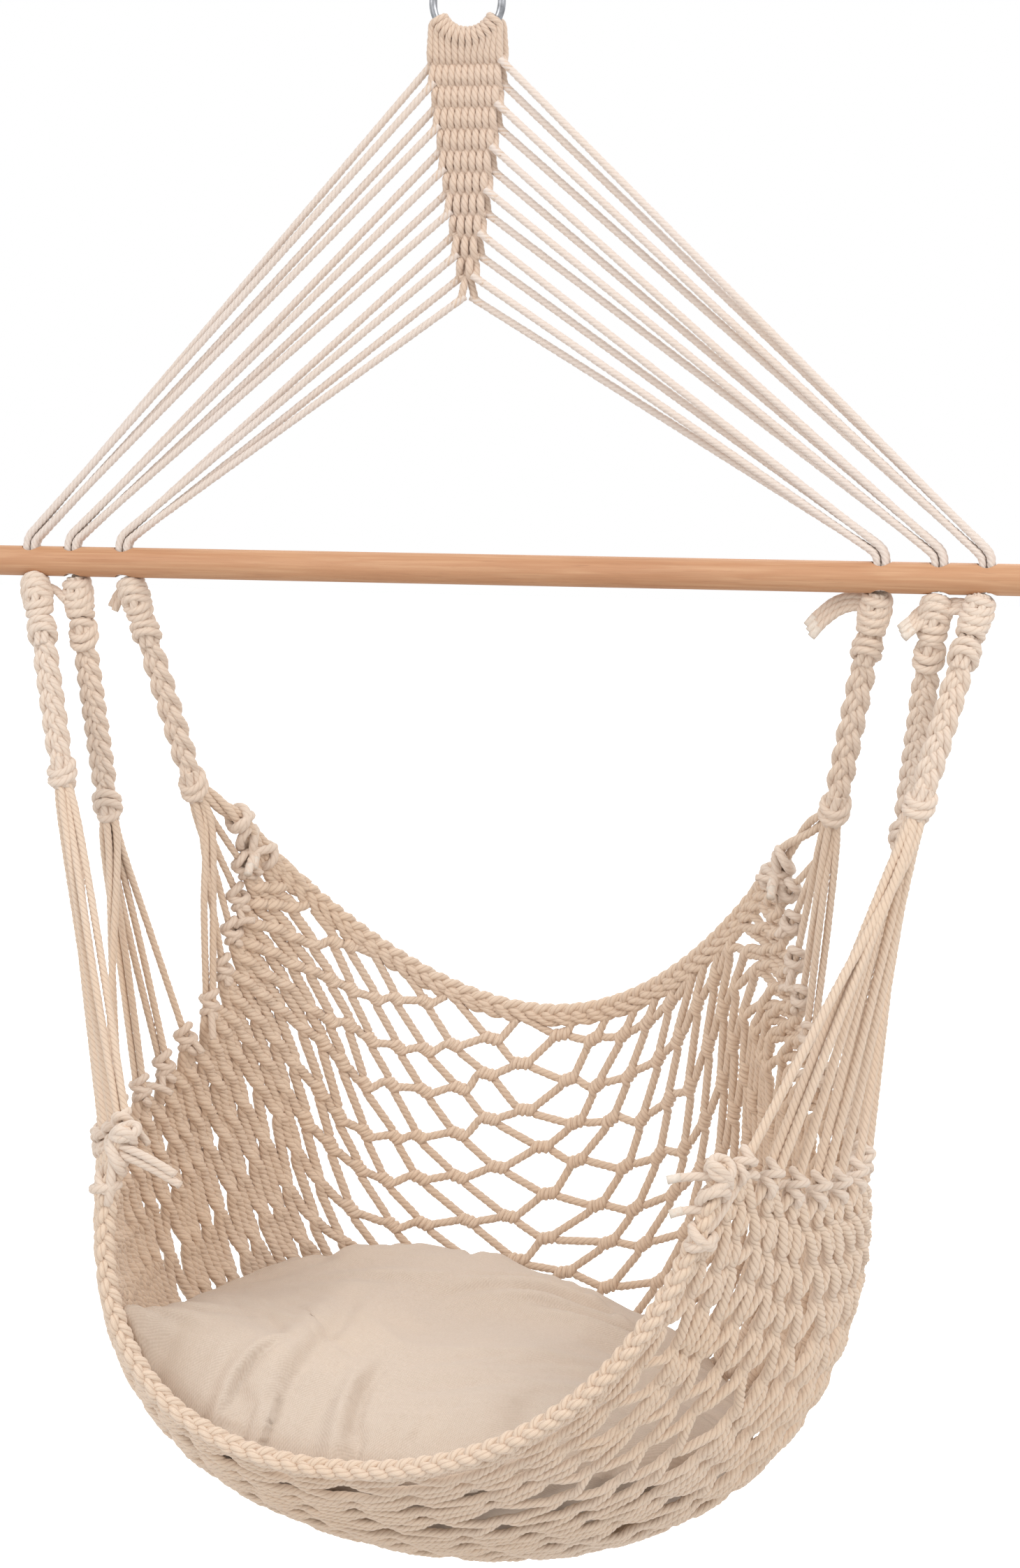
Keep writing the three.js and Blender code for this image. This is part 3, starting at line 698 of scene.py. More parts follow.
@dataclass(frozen=True)
class Cotton(Finish):
    """Laid cotton cord.

    Args:
        light: Screen colour of the crowns.
        deep: Darker colour, of the painted shade in the grooves and between yarns and of the darker fibres.
        warm: Colour of the warmer patches.
        groove_shade: Strength of the painted shade in the grooves.
        relief: Strength of the bumps.
        yarn_shade: Strength of the painted shade in the lines between yarns.
    """

    light: Colour = (236, 214, 192)
    deep: Colour = (186, 151, 123)
    warm: Colour = (230, 200, 169)
    groove_shade: float = 0.5
    relief: float = 0.65
    yarn_shade: float = 0.35

    def make(self, group: bpy.types.NodeTree) -> Material:
        """Builds the material.

        Args:
            group: Group of the laid strands.

        Returns:
            The material.
        """
        material, n = self.start()
        lay = n.node("ShaderNodeGroup")
        lay.node_tree = group
        groove_shade, height, fibre, yarn_shade_mask = (lay.outputs[k] for k in range(4))
        where = n.object_place()
        patch = n.ramp(n.noise(where, 7.0, 2.0), 0.35, 0.7)
        fleck = n.ramp(n.noise(where, 1100.0, 2.0, 0.7), 0.35, 0.75)
        deep = linear(*self.deep)
        body = n.part(patch, 0.5, linear(*self.light), linear(*self.warm))
        body = n.part(n.ramp(fibre, 0.35, 0.75), 0.26, body, deep)
        body = n.part(fleck, 0.10, body, linear(244, 226, 204))
        # Painted shade: the lines between yarns and the grooves between strands are darkened towards the
        # deep colour.
        body = n.part(yarn_shade_mask, self.yarn_shade, body, deep)
        body = n.part(groove_shade, self.groove_shade, body, deep)
        total = n.math("ADD", height, n.math("MULTIPLY", fleck, 0.25))
        self.close(n, body, n.bump(self.relief, 0.0005, total), sheen=0.25)
        return material


@dataclass(frozen=True)
class Wood(Finish):
    """Turned hardwood with its grain along X.

    Args:
        stain_at: X of a darker stain.
        stain_width: Its half width.
    """

    stain_at: float = 0.142
    stain_width: float = 0.05

    def make(self) -> Material:
        """Builds the material.

        Returns:
            The material.
        """
        material, n = self.start()
        where = n.object_place()
        x = n.node("ShaderNodeSeparateXYZ", {0: where}).outputs[0]
        bend = n.noise(n.scaled(where, (2.2, 34.0, 34.0)), 1.6, 3.0)
        fine = n.noise(n.scaled(where, (9.0, 420.0, 420.0)), 1.0, 5.0, 0.7)
        pores = n.ramp(n.noise(n.scaled(where, (40.0, 1500.0, 1500.0)), 1.0, 2.0), 0.62, 0.75)
        waves = n.math("ADD", n.math("MULTIPLY", bend, 46.0), n.math("MULTIPLY", x, 3.0))
        bands = n.math("SINE", waves)
        body = n.mix(n.ramp(bands, -1.0, 1.0), linear(204, 159, 122), linear(192, 142, 105))
        body = n.mix(n.ramp(fine, 0.3, 0.75), body, linear(178, 127, 90))
        body = n.part(n.ramp(n.noise(where, 5.0, 2.0), 0.4, 0.7), 0.35, body, linear(212, 166, 126))
        shift = n.math("DIVIDE", n.math("SUBTRACT", x, self.stain_at), self.stain_width)
        stain = n.math("EXPONENT", n.math("MULTIPLY", n.math("MULTIPLY", shift, shift), -1.0))
        stain = n.math("MULTIPLY", stain, n.ramp(bend, 0.42, 0.6))
        body = n.part(stain, 0.5, body, linear(158, 104, 72))
        body = n.part(pores, 0.35, body, linear(140, 94, 66))
        total = n.math("SUBTRACT", n.math("MULTIPLY", fine, 0.6), pores)
        self.close(n, body, n.bump(0.3, 0.0002, total), n.times_add(fine, 0.18, self.roughness))
        return material


@dataclass(frozen=True)
class Steel(Finish):
    """Plated steel wire, bright with faint wear."""

    def make(self) -> Material:
        """Builds the material.

        Returns:
            The material.
        """
        material, n = self.start()
        where = n.object_place()
        haze = n.noise(where, 160.0, 4.0)
        body = n.mix(n.ramp(haze, 0.4, 0.7), linear(176, 178, 182), linear(126, 127, 130))
        scratch = n.noise(n.scaled(where, (300.0, 2000.0, 900.0)), 1.0, 3.0)
        bump = n.bump(0.15, 0.0001, scratch)
        self.close(n, body, bump, n.times_add(haze, 0.22, self.roughness), metallic=1.0)
        return material


@dataclass(frozen=True)
class Canvas(Finish):
    """Plain woven cotton canvas.

    Args:
        thread: Distance between two threads in metres.
    """

    thread: float = 0.00085

    def make(self) -> Material:
        """Builds the material.

        Returns:
            The material.
        """
        material, n = self.start()
        uv = n.node("ShaderNodeUVMap", uv_map="cloth").outputs[0]
        where = n.object_place()
        wander = n.noise(uv, 60.0, 2.0)
        split = n.node("ShaderNodeSeparateXYZ", {0: uv})
        turn = TURN / (2 * self.thread)
        warp, weft = (
            n.math("ADD", n.math("MULTIPLY", split.outputs[k], turn), n.math("MULTIPLY", wander, sway))
            for k, sway in enumerate((2.0, 1.8))
        )
        cross = n.math("MULTIPLY", n.math("SINE", warp), n.math("SINE", weft))
        weave = n.ramp(cross, -1.0, 1.0)
        ways = (1000.0, 120.0, 1.0), (110.0, 900.0, 1.0)
        slubs = (n.noise(n.scaled(uv, way), 1.0, 3.0) for way in ways)
        slub = n.math("MULTIPLY", n.math("ADD", *slubs), 0.5)
        body = n.mix(n.ramp(slub, 0.3, 0.7), linear(217, 202, 188), linear(205, 188, 171))
        body = n.part(weave, 0.62, body, linear(180, 158, 137))
        body = n.part(n.ramp(n.noise(where, 9.0, 3.0), 0.45, 0.75), 0.3, body, linear(222, 200, 176))
        grain = n.ramp(n.noise(where, 700.0, 2.0, 0.7), 0.3, 0.7)
        body = n.part(grain, 0.22, body, linear(232, 219, 206))
        total = n.math("ADD", n.math("MULTIPLY", weave, 0.7), n.math("MULTIPLY", slub, 0.6))
        self.close(n, body, n.bump(0.6, 0.0004, total), sheen=0.2)
        return material


@dataclass(frozen=True)
class Plain(Finish):
    """A small part's moulded finish.

    Args:
        colour: Colour on screen.
        ribbed: Strength of its fine ribs.
    """

    colour: Colour = (205, 191, 174)
    ribbed: float = 0.4

    def make(self) -> Material:
        """Builds the material.

        Returns:
            The material.
        """
        material, n = self.start()
        where = n.object_place()
        x = n.node("ShaderNodeSeparateXYZ", {0: where}).outputs[0]
        ribs = n.math("SINE", n.math("MULTIPLY", x, 3100.0))
        tone = n.ramp(n.noise(where, 300.0), 0.3, 0.7)
        body = n.part(tone, 0.4, linear(*self.colour), linear(180, 165, 148))
        self.close(n, body, n.bump(self.ribbed, 0.0003, ribs))
        return material


class Finishes:
    """Every material of the chair."""

    def __init__(self) -> None:
        """Builds them all."""
        group = strand_group()
        self.net = Cotton("cotton_net", 0.95).make(group)
        # Light, deep and warm colours, then the strengths of the painted shade in the grooves, of the bumps
        # and of the painted shade between yarns.
        knot = (230, 213, 197), (190, 158, 132), (226, 200, 175), 0.4, 0.55, 0.28
        self.knot = Cotton("cotton_knot", 0.95, *knot).make(group)
        fan = (224, 211, 202), (190, 166, 147), (221, 204, 188), 0.35, 0.15, 0.08
        self.fan = Cotton("cotton_fan", 0.95, *fan).make(group)
        mat = (228, 206, 188), (184, 150, 122), (223, 196, 170)
        self.mat = Cotton("cotton_mat", 0.95, *mat).make(group)
        self.wood = Wood("turned_wood", 0.5).make()
        self.steel = Steel("plated_steel", 0.22).make()
        self.canvas = Canvas("cushion_canvas", 0.9).make()
        self.zip = Plain("zip_tape", 0.6).make()
        self.tape = Plain("clear_tape", 0.4, (229, 216, 202), 0.02).make()


def finish_piece(
    piece: Object,
    material: Material,
    body: Body,
    slot: Slot,
    *nodes: str,
    bend: Bend | None = None,
) -> None:
    """Gives a piece its material, attaches it to its body unless a bend is given, and hides the CAD nodes
    that it stands for.

    Args:
        piece: The piece.
        material: Its material.
        body: Body that it moves with.
        slot: Not used.
        nodes: CAD nodes that it replaces.
        bend: If given, the piece stays in the frame, attached to no body.
    """
    piece.data.materials.clear()
    piece.data.materials.append(material)
    if bend:
        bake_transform(piece)
    else:
        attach(piece, body.value)
    if nodes:
        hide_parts(*nodes)
    faces = len(piece.data.polygons)
    log.info("%s: %d faces on %s, for %s", piece.name, faces, body.value, ", ".join(nodes) or "no node")


# ---- studio


@dataclass(frozen=True)
class Lamp:
    """A round area light.

    Args:
        name: Name of the light.
        place: Its place.
        size: Its diameter.
        power: Its power in watts.
        colour: Its linear colour.
    """

    name: str
    place: Place
    size: float
    power: float
    colour: Place


LAMPS = (
    Lamp("key", (-1.9, -2.6, 1.4), 2.2, 42.0, (1.0, 0.98, 0.965)),
    Lamp("fill", (2.0, -1.3, 1.3), 2.0, 39.0, (1.0, 0.98, 0.96)),
    Lamp("rim", (0.4, 2.4, 1.2), 2.0, 25.0, (1.0, 0.99, 0.97)),
)
LAMPS_AIM = (0, 0, -0.65)


@dataclass
class Studio:
    """The camera, floor, world and lights.

    Args:
        eye: Place of the camera.
        aside: Turn of the camera to the left.
        down: Tilt of the camera.
        lens: Focal length in millimetres.
        floor_level: Height of the floor.
    """

    eye: Place = (0.6770, -2.4068, -0.254)
    aside: float = math.radians(15)
    down: float = math.radians(7.85)
    lens: float = 77.0
    floor_level: float = -1.72

    def camera(self) -> None:
        """Places the camera at the photo's angle."""
        forward = vec(-math.sin(self.aside), math.cos(self.aside), 0) * math.cos(self.down)
        forward = forward - vec(0, 0, 1) * math.sin(self.down)
        data = bpy.data.cameras.new("camera")
        data.sensor_width = 36
        data.lens = self.lens
        data.clip_end = 50
        made = in_scene(bpy.data.objects.new("camera", data))
        made.location = self.eye
        made.rotation_euler = Vector(forward).to_track_quat("-Z", "Y").to_euler()
        bpy.context.scene.camera = made

    def world(self) -> None:
        """White behind everything, and a soft white light all round."""
        world = bpy.data.worlds.new("studio")
        bpy.context.scene.world = world
        world.use_nodes = True
        n = Nodes(world.node_tree)
        path = n.node("ShaderNodeLightPath")
        seen = n.math("MAXIMUM", path.outputs["Is Camera Ray"], path.outputs["Is Transmission Ray"])
        seen = n.math("MAXIMUM", seen, path.outputs["Is Glossy Ray"])
        light = n.node("ShaderNodeBackground", {"Color": (0.965, 0.975, 0.985, 1), "Strength": 0.82})
        white = n.node("ShaderNodeBackground", {"Color": (1, 1, 1, 1), "Strength": 1.0})
        both = n.node("ShaderNodeMixShader", {0: seen, 1: light.outputs[0], 2: white.outputs[0]})
        n.node("ShaderNodeOutputWorld", {"Surface": both.outputs[0]})

    def floor(self) -> None:
        """A plain floor that is white to the camera apart from the chair's shadow."""
        bpy.ops.mesh.primitive_plane_add(size=30, location=(0, 0, self.floor_level))
        floor = bpy.context.active_object
        floor.name = "floor"
        material = bpy.data.materials.new("floor")
        material.use_nodes = True
        n = Nodes(material.node_tree)
        path = n.node("ShaderNodeLightPath")
        matt = n.node("ShaderNodeBsdfDiffuse", {"Color": (0.8, 0.8, 0.8, 1)})
        strength = n.math("MULTIPLY", path.outputs["Is Camera Ray"], 0.72)
        glow = n.node("ShaderNodeEmission", {"Color": (1, 1, 1, 1), "Strength": strength})
        both = n.node("ShaderNodeAddShader", {0: matt.outputs[0], 1: glow.outputs[0]})
        n.node("ShaderNodeOutputMaterial", {"Surface": both.outputs[0]})
        floor.data.materials.append(material)

    def lights(self) -> None:
        """A large key above the front left, a weaker fill and a light from behind."""
        for lamp in LAMPS:
            data = bpy.data.lights.new(lamp.name, "AREA")
            data.shape = "DISK"
            data.size = lamp.size
            data.energy = lamp.power
            data.color = lamp.colour
            made = in_scene(bpy.data.objects.new(lamp.name, data))
            made.location = lamp.place
            aim = Vector(LAMPS_AIM) - Vector(lamp.place)
            made.rotation_euler = aim.to_track_quat("-Z", "Y").to_euler()

    def build(self) -> None:
        """Builds the whole studio."""
        bpy.context.scene.view_settings.view_transform = "Standard"
        self.camera()
        self.world()
        self.floor()
        self.lights()


# ---- ring, mat and fan cords


@dataclass
class Ring:
    """The steel ring.

    Args:
        radius: Radius of the wire's middle.
        wire: Thickness of the wire.
        segments: Faces round the ring.
        sides: Faces round the wire.
    """

    radius: float = RING_RADIUS
    wire: float = RING_WIRE * 0.995
    segments: int = 96
    sides: int = 20

    def build(self, finishes: Finishes) -> None:
        """Turns a torus.

        Args:
            finishes: The materials.
        """
        bpy.ops.object.select_all(action="DESELECT")
        bpy.ops.mesh.primitive_torus_add(
            major_radius=self.radius,
            minor_radius=self.wire / 2,
            major_segments=self.segments,
            minor_segments=self.sides,
            location=(0, 0, RING_CENTRE),
            rotation=(math.pi / 2, 0, 0),
        )
        ring = bpy.context.active_object
        ring.name = "steel_ring"
        bpy.ops.object.transform_apply(location=True, rotation=True, scale=True)
        bpy.ops.object.shade_smooth()
        finish_piece(ring, finishes.steel, Body.RING, Slot.STEEL, "hanging_ring")


def mat_half(row: Array) -> Array:
    """The half width of the mat at a row, counted from the top."""
    share = np.clip(np.asarray(row, float) / (MAT_ROWS - 1), 0, 1)
    return MAT_WIDTH / 2 - share**MAT_TAPER * (MAT_WIDTH - MAT_TIP) / 2


def exit_height(row: float) -> float:
    """The height at which the cords of a row leave the mat."""
    return RING_CENTRE - MAT_FIRST_EXIT - row * MAT_PITCH


def fan_route(side: int, row: int) -> Array:
    """The route of a fan cord, as in the CAD source.

    Args:
        side: -1 at the left, 1 at the right.
        row: Row where the cord leaves the mat.

    Returns:
        Places from the mat to under the bar.
    """
    hole, in_hole = divmod(row, MAT_ROWS // len(HOLE_SPANS))
    outer = in_hole < MAT_ROWS / len(HOLE_SPANS) / 2
    layer = side * (1 if row % 2 else -1) * CORD_PITCH / 2
    centre = vec(HOLE_SPANS[hole] - CORD_PITCH / 2 - BEND_RADIUS, BAR_RADIUS + CLEAR)
    radius = BEND_RADIUS + (CORD_PITCH if outer else 0)
    start = vec(float(mat_half(row)) - side * HANG_OFFSET, exit_height(row) + BAR_DROP)
    away = start - centre
    touch = math.atan2(away[1], away[0]) - math.acos(radius / np.linalg.norm(away))
    bend = [centre + radius * vec(math.cos(a), math.sin(a)) for a in np.linspace(touch, 0, 10)]
    first = start + unit(start - bend[0]) * 0.005
    bottom = math.sqrt(BAR_RADIUS**2 - (CORD_PITCH / 2 + CORD / 2) ** 2) - CLEAR
    flat = [first, start, *bend, vec(bend[-1][0], -bottom)]
    return np.array([(side * p[0] + HANG_OFFSET, layer, p[1] - BAR_DROP) for p in flat])


@dataclass
class WovenMat:
    """The woven mat: cords looped over the ring that pass through each other row by row.

    Args:
        cords: Cords at the top.
        depth: Reach of the weave to each side.
        reach: Angle of the outermost loops on the ring.
    """

    cords: int = 24
    depth: float = 0.0034
    reach: float = math.radians(64)

    def across(self, index: int, row: Array) -> Array:
        """The place across of a cord at a row."""
        left = self.cords / 2 - np.minimum(row, MAT_ROWS - 1)
        return (index - (self.cords - 1) / 2) / left * (mat_half(row) - 0.0006)

    def warp(self, index: int) -> tuple[Array, Array]:
        """The run of a cord from below its loop to the row where it bends into its fan cord.

        Args:
            index: Number of the cord from the left.

        Returns:
            Places of the cord and factors on its radius.
        """
        last = min(index, self.cords - 1 - index)
        row = np.linspace(0, max(last - 0.2, 0.1), 2 + 14 * (last + 1))
        sign = 1 if index % 2 else -1
        wave = np.cos(math.pi * row)
        z = exit_height(0) + MAT_PITCH / 2 - row * MAT_PITCH
        points = np.stack([self.across(index, row), sign * self.depth * wave, z], -1)
        route = fan_route(-1 if index < self.cords / 2 else 1, last)
        out = route[1] + np.outer([-0.2, 1.0], unit(route[2] - route[1])) * 0.006
        return np.concatenate([points, out]), np.concatenate([0.86 + 0.2 * np.abs(wave), [0.97, 0.97]])

    def loop(self, pair: int) -> Array:
        """The loop of a pair of cords round the ring's wire.

        Args:
            pair: Number of the pair from the left.

        Returns:
            Places from front to back.
        """
        turn = self.reach * (2 * (pair + 0.5) / (self.cords / 2) - 1)
        out = vec(math.sin(turn), 0, -math.cos(turn))
        middle = vec(0, 0, RING_CENTRE) + RING_RADIUS * out
        angle = np.radians(np.linspace(50, 310, 27))[:, None]
        reach = RING_WIRE / 2 + 0.0006 + CORD / 2
        return middle + reach * (np.cos(angle) * out - np.sin(angle) * vec(0, 1, 0))

    def build(self, finishes: Finishes) -> None:
        """Lays every cord of the mat.

        Args:
            finishes: The materials.
        """
        ropes = Ropes(WOVEN)
        for pair in range(self.cords // 2):
            front, front_size = self.warp(2 * pair)
            back, back_size = self.warp(2 * pair + 1)
            over = self.loop(pair)
            points = np.concatenate([front[::-1], over, back])
            size = np.concatenate([front_size[::-1], np.full(len(over), 0.9), back_size])
            ropes.cord(points, size, 5)
        for row in range(MAT_ROWS - 1):
            z = exit_height(row) + 0.001
            half = float(mat_half(row)) - 0.002
            ropes.cord(np.array([(-half, 0, z), (0, 0, z), (half, 0, z)]), 0.8)
        bend = Bend(Body.RING, (0.0, 0.0, -0.044), (0.0, 0.0, -0.080))
        ropes.finish("mat_weave", finishes.mat, "woven_mat", body=Body.HARNESS, bend=bend)


@dataclass
class FanCords:
    """The two fans of cord between the mat and the bar.

    Args:
        swell: Factor on the cords' radius.
    """

    swell: float = 0.99

    def build(self, finishes: Finishes) -> None:
        """Lays each cord as a piece of its own.

        Args:
            finishes: The materials.
        """
        for name, side in (("left", -1), ("right", 1)):
            for row in range(MAT_ROWS):
                ropes = Ropes(TAUT)
                ropes.cord(fan_route(side, row), self.swell, 2)
                piece, node = (f"fan_{kind}_{name}_{row + 1}" for kind in ("rope", "cord"))
                ropes.finish(piece, finishes.fan, node, body=Body.HARNESS)


# ---- spreader bar


@dataclass
class SpreaderBar:
    """The wooden bar with its six holes.

    Args:
        sides: Faces round the bar.
        hole_sides: Faces round a hole.
        steps: Faces across an eased edge.
        sharp: Angle from which an edge is eased.
        smooth: Angle of smooth shading.
    """

    sides: int = 72
    hole_sides: int = 40
    steps: int = 4
    sharp: float = math.radians(50)
    smooth: float = math.radians(35)

    def build(self, finishes: Finishes) -> None:
        """Turns the bar, eases its ends and drills it.

        Args:
            finishes: The materials.
        """
        bar = self._turned()
        for span in HOLE_SPANS:
            for side in (-1, 1):
                self._drill(bar, HANG_OFFSET + side * span)
        bpy.context.view_layer.objects.active = bar
        bpy.ops.object.shade_smooth_by_angle(angle=self.smooth)
        finish_piece(bar, finishes.wood, Body.HARNESS, Slot.WOOD, "spreader_bar")

    def _turned(self) -> Object:
        """Turns the bar and eases its ends.

        Returns:
            The bar without its holes.
        """
        bpy.ops.object.select_all(action="DESELECT")
        bpy.ops.mesh.primitive_cylinder_add(
            vertices=self.sides,
            radius=BAR_RADIUS,
            depth=BAR_LENGTH,
            location=(HANG_OFFSET, 0, -BAR_DROP),
            rotation=(0, math.pi / 2, 0),
        )
        bar = bpy.context.active_object
        bar.name = "wooden_bar"
        bpy.ops.object.transform_apply(location=True, rotation=True, scale=True)
        bevel = bar.modifiers.new("eased", "BEVEL")
        bevel.width = BAR_CHAMFER
        bevel.segments = self.steps
        bevel.angle_limit = self.sharp
        bpy.ops.object.modifier_apply(modifier=bevel.name)
        return bar

    def _drill(self, bar: Object, x: float) -> None:
        """Drills one hole through the bar.

        Args:
            bar: The bar.
            x: Place of the hole along it.
        """
        bpy.ops.object.select_all(action="DESELECT")
        bpy.ops.mesh.primitive_cylinder_add(
            vertices=self.hole_sides,
            radius=HOLE_RADIUS,
            depth=4 * BAR_RADIUS,
            location=(x, 0, -BAR_DROP),
        )
        drill = bpy.context.active_object
        bpy.ops.object.transform_apply(location=True, rotation=True, scale=True)
        cut = bar.modifiers.new("hole", "BOOLEAN")
        cut.object = drill
        cut.solver = "EXACT"
        bpy.context.view_layer.objects.active = bar
        bpy.ops.object.modifier_apply(modifier=cut.name)
        bpy.data.objects.remove(drill)


# ---- legs


@dataclass
class LegLine:
    """The line of one leg: its hole, directions down it, across it and behind it, and its lower
        knot's distance.

    Args:
        side: -1 at the left, 1 at the right.
        index: 0 in front to 2 at the back.
        drape: The net's surface.
    """

    side: int
    index: int
    drape: Drape
    hole: Array = field(init=False)
    down: Array = field(init=False)
    across: Array = field(init=False)
    depth: Array = field(init=False)
    reach: float = field(init=False)

    def __post_init__(self) -> None:
        """Works out the line from the hole to the net's edge."""
        self.hole = SEAT_ORIGIN + vec(self.side * HOLE_SPANS[self.index], 0, 0)
        target = self.drape.edge.at(EDGE_SHARES[self.index][2])
        target = vec(target[0] * self.side, target[1], target[2]) + SEAT_ORIGIN
        whole = target - self.hole
        self.reach = float(np.linalg.norm(whole)) * KNOT_REACH[self.index]
        self.down = unit(whole)
        self.across = unit(vec(1, 0, 0) - self.down * self.down[0])
        self.depth = np.cross(self.down, self.across)

    def at(self, along: Array, across: Array, depth: Array) -> Array:
        """Places about the line.

        Args:
            along: Distance down the line.
            across: Distance across it.
            depth: Distance behind it.

        Returns:
            The places, in the frame.
        """
        given = (np.asarray(a, float) for a in (along, across, depth))
        along, across, depth = np.broadcast_arrays(*given)
        ways = (along, self.down), (across, self.across), (depth, self.depth)
        return self.hole + sum(place[..., None] * way for place, way in ways)

    @property
    def name(self) -> str:
        """The leg's place, as in the CAD names."""
        return ("left", "right")[self.side > 0] + "_" + ("front", "middle", "back")[self.index]


@dataclass(frozen=True)
class Wrap:
    """A knot's wrapping cords.

    Args:
        middle: Middle of the wrap along the leg.
        radius: Radius of the cords' middles.
        turns: Turns round the leg.
        tilt: Rise as a share of the radius.
        count: Cords side by side.
        start: Where the wrap starts, in degrees.
        drift: Shift along the leg from start to end.
        spacing: Distance between two cords.
        flat: Depth as a share of the width.
    """

    middle: float
    radius: float
    turns: float = 1.3
    tilt: float = 0.45
    count: int = 3
    start: float = 0.0
    drift: float = 0.0
    spacing: float = 0.0064
    flat: float = 0.85

    def lay(self, ropes: Ropes, line: LegLine) -> None:
        """Lays the wrap's cords round the leg, with their ends tucked in.

        Args:
            ropes: Where the cords go.
            line: Line of the leg.
        """
        for k in range(self.count):
            offset = (k - (self.count - 1) / 2) * self.spacing
            turn = np.linspace(0, self.turns * TURN, int(30 * self.turns) + 2)
            angle = turn + math.radians(self.start) + 0.1 * k
            share = turn / turn[-1]
            tucked = 1 - 0.5 * at_ends(share, 0.1)
            belly = 1 + 0.06 * math.sin(2.1 * k + self.start)
            rise = self.tilt * self.radius * np.sin(angle) + self.drift * (share - 0.5)
            out = self.radius * tucked * belly
            along = self.middle + offset + rise
            ropes.cord(line.at(along, out * np.cos(angle), self.flat * out * np.sin(angle)), 0.97, 2)


def core(
    ropes: Ropes, line: LegLine, start: float, end: float, radius: float, count: int, twist: float
) -> None:
    """Lays the cords inside a knot, twisted a little.

    Args:
        ropes: Where the cords go.
        line: Line of the leg.
        start: Where the cords start along it.
        end: Where they end.
        radius: Distance of the cords from the line.
        count: Number of cords.
        twist: Angle by which they turn.
    """
    for k in range(count):
        share = np.linspace(0, 1, 24)
        angle = TURN * k / count + twist * share
        along = start + (end - start) * share
        ropes.cord(line.at(along, radius * np.cos(angle), radius * np.sin(angle)), 0.96, 1)


# Each round of a hitch: its place along the cord's last stretch, its tilt, its radius and its turns.
HITCH_ROUNDS = ((0.3, 0.6, 0.0052, 1.25), (0.65, -0.6, 0.0058, 1.2), (1.0, 0.5, 0.0054, 1.1))
HITCH_POINTS = 34
HITCH_EYE = 0.0058


def hitch(ropes: Ropes, start: Array, end: Array, rim: Array, face: Array, turn: float) -> None:
    """Lays a hitch that ties a cord to the net's edge.

    Args:
        ropes: Where the cords go.
        start: Start of the cord's last stretch.
        end: Its end.
        rim: Direction along the edge.
        face: Direction out of it.
        turn: Angle that makes each a little different.
    """
    down = unit(end - start)
    side = unit(np.cross(down, face))
    back = np.cross(down, side)
    size = 1 + 0.12 * math.sin(3.1 * turn)
    for k, (place, tilt, radius, turns) in enumerate(HITCH_ROUNDS):
        angle = np.linspace(0, TURN * turns, HITCH_POINTS)[:, None] + turn + 2.0 * k
        share = np.linspace(0, 1, HITCH_POINTS)[:, None]
        out = radius * size * (1 - 0.35 * at_ends(share, 0.12))
        middle = start + (end - start) * place + tilt * radius * np.sin(angle + 0.6) * down
        ropes.cord(middle + out * around(angle, side, back), 0.95, 1)
    angle = np.linspace(-0.3, TURN * 0.92, 30)[:, None] + turn
    eye = np.cos(angle) * (0.8 * down + 0.5 * rim) + np.sin(angle) * face
    ropes.cord(end + down * 0.004 + HITCH_EYE * size * eye, 0.95, 1)
    length = 0.014 + 0.008 * math.sin(5.3 * turn)
    share = np.linspace(0, 1, 14)[:, None]
    way = unit(0.5 * face + math.cos(turn * 2.1) * rim + 0.35 * down)
    tail = start + (end - start) * 0.55 + way * (0.004 + length * share) + down * 0.008 * share**2
    ropes.cord(tail, 0.92 - 0.1 * share[:, 0], 1)


class TapedTips:
    """The taped ends of the loose cords."""

    def __init__(self) -> None:
        """Starts without any."""
        self.sleeves = Ropes(TAPE)

    def cover(self, cord: Array, length: float = 0.009) -> None:
        """Puts a sleeve of a given length on the far end of a cord."""
        back = unit(cord[-2] - cord[-1])
        self.sleeves.cord(np.array([cord[-1] + back * length, cord[-1] - back * 0.0008]))

    def build(self, finishes: Finishes) -> None:
        """Makes the one piece of every sleeve."""
        self.sleeves.finish("taped_tips", finishes.tape)


# The loose ends beside the bar knots: side, length and number of cords.
LOOSE_ENDS = {
    "right_back": (-1, 0.040, 3),
    "right_front": (-1, 0.044, 3),
    "left_back": (-1, 0.018, 2),
    "right_middle": (-1, 0.014, 1),
    "left_front": (1, 0.016, 2),
}
LONG_END = 0.03

# The cords around the middle one in a bar knot, and the gap between them and the bar's wood.
KNOT_CORDS = 6
BELOW_WOOD = 0.0006

# The suspension cords' radius, and which of a leg's cords are doubled, where a leg differs.
THIN_CORD = 0.0029
THICK_CORDS = {"right_front": 0.0036, "right_middle": 0.0032, "left_front": 0.0030}
DOUBLED_CORDS = {"right_front": (1, 3), "left_middle": (2, 3), "right_middle": (1, 3)}

# The braid: length of a turn, reach across and behind, and half the gap between a strand's two cords.
BRAID_TURN, BRAID_WIDE, BRAID_DEEP, BRAID_SPREAD = 0.046, 0.0050, 0.0028, 0.0024

# Where a single wrap starts, in degrees, and the wider wraps' spacing and flatness.
WRAP_BACK = 240
LOOP_SPACING, LOOP_FLAT = 0.0068, 0.78


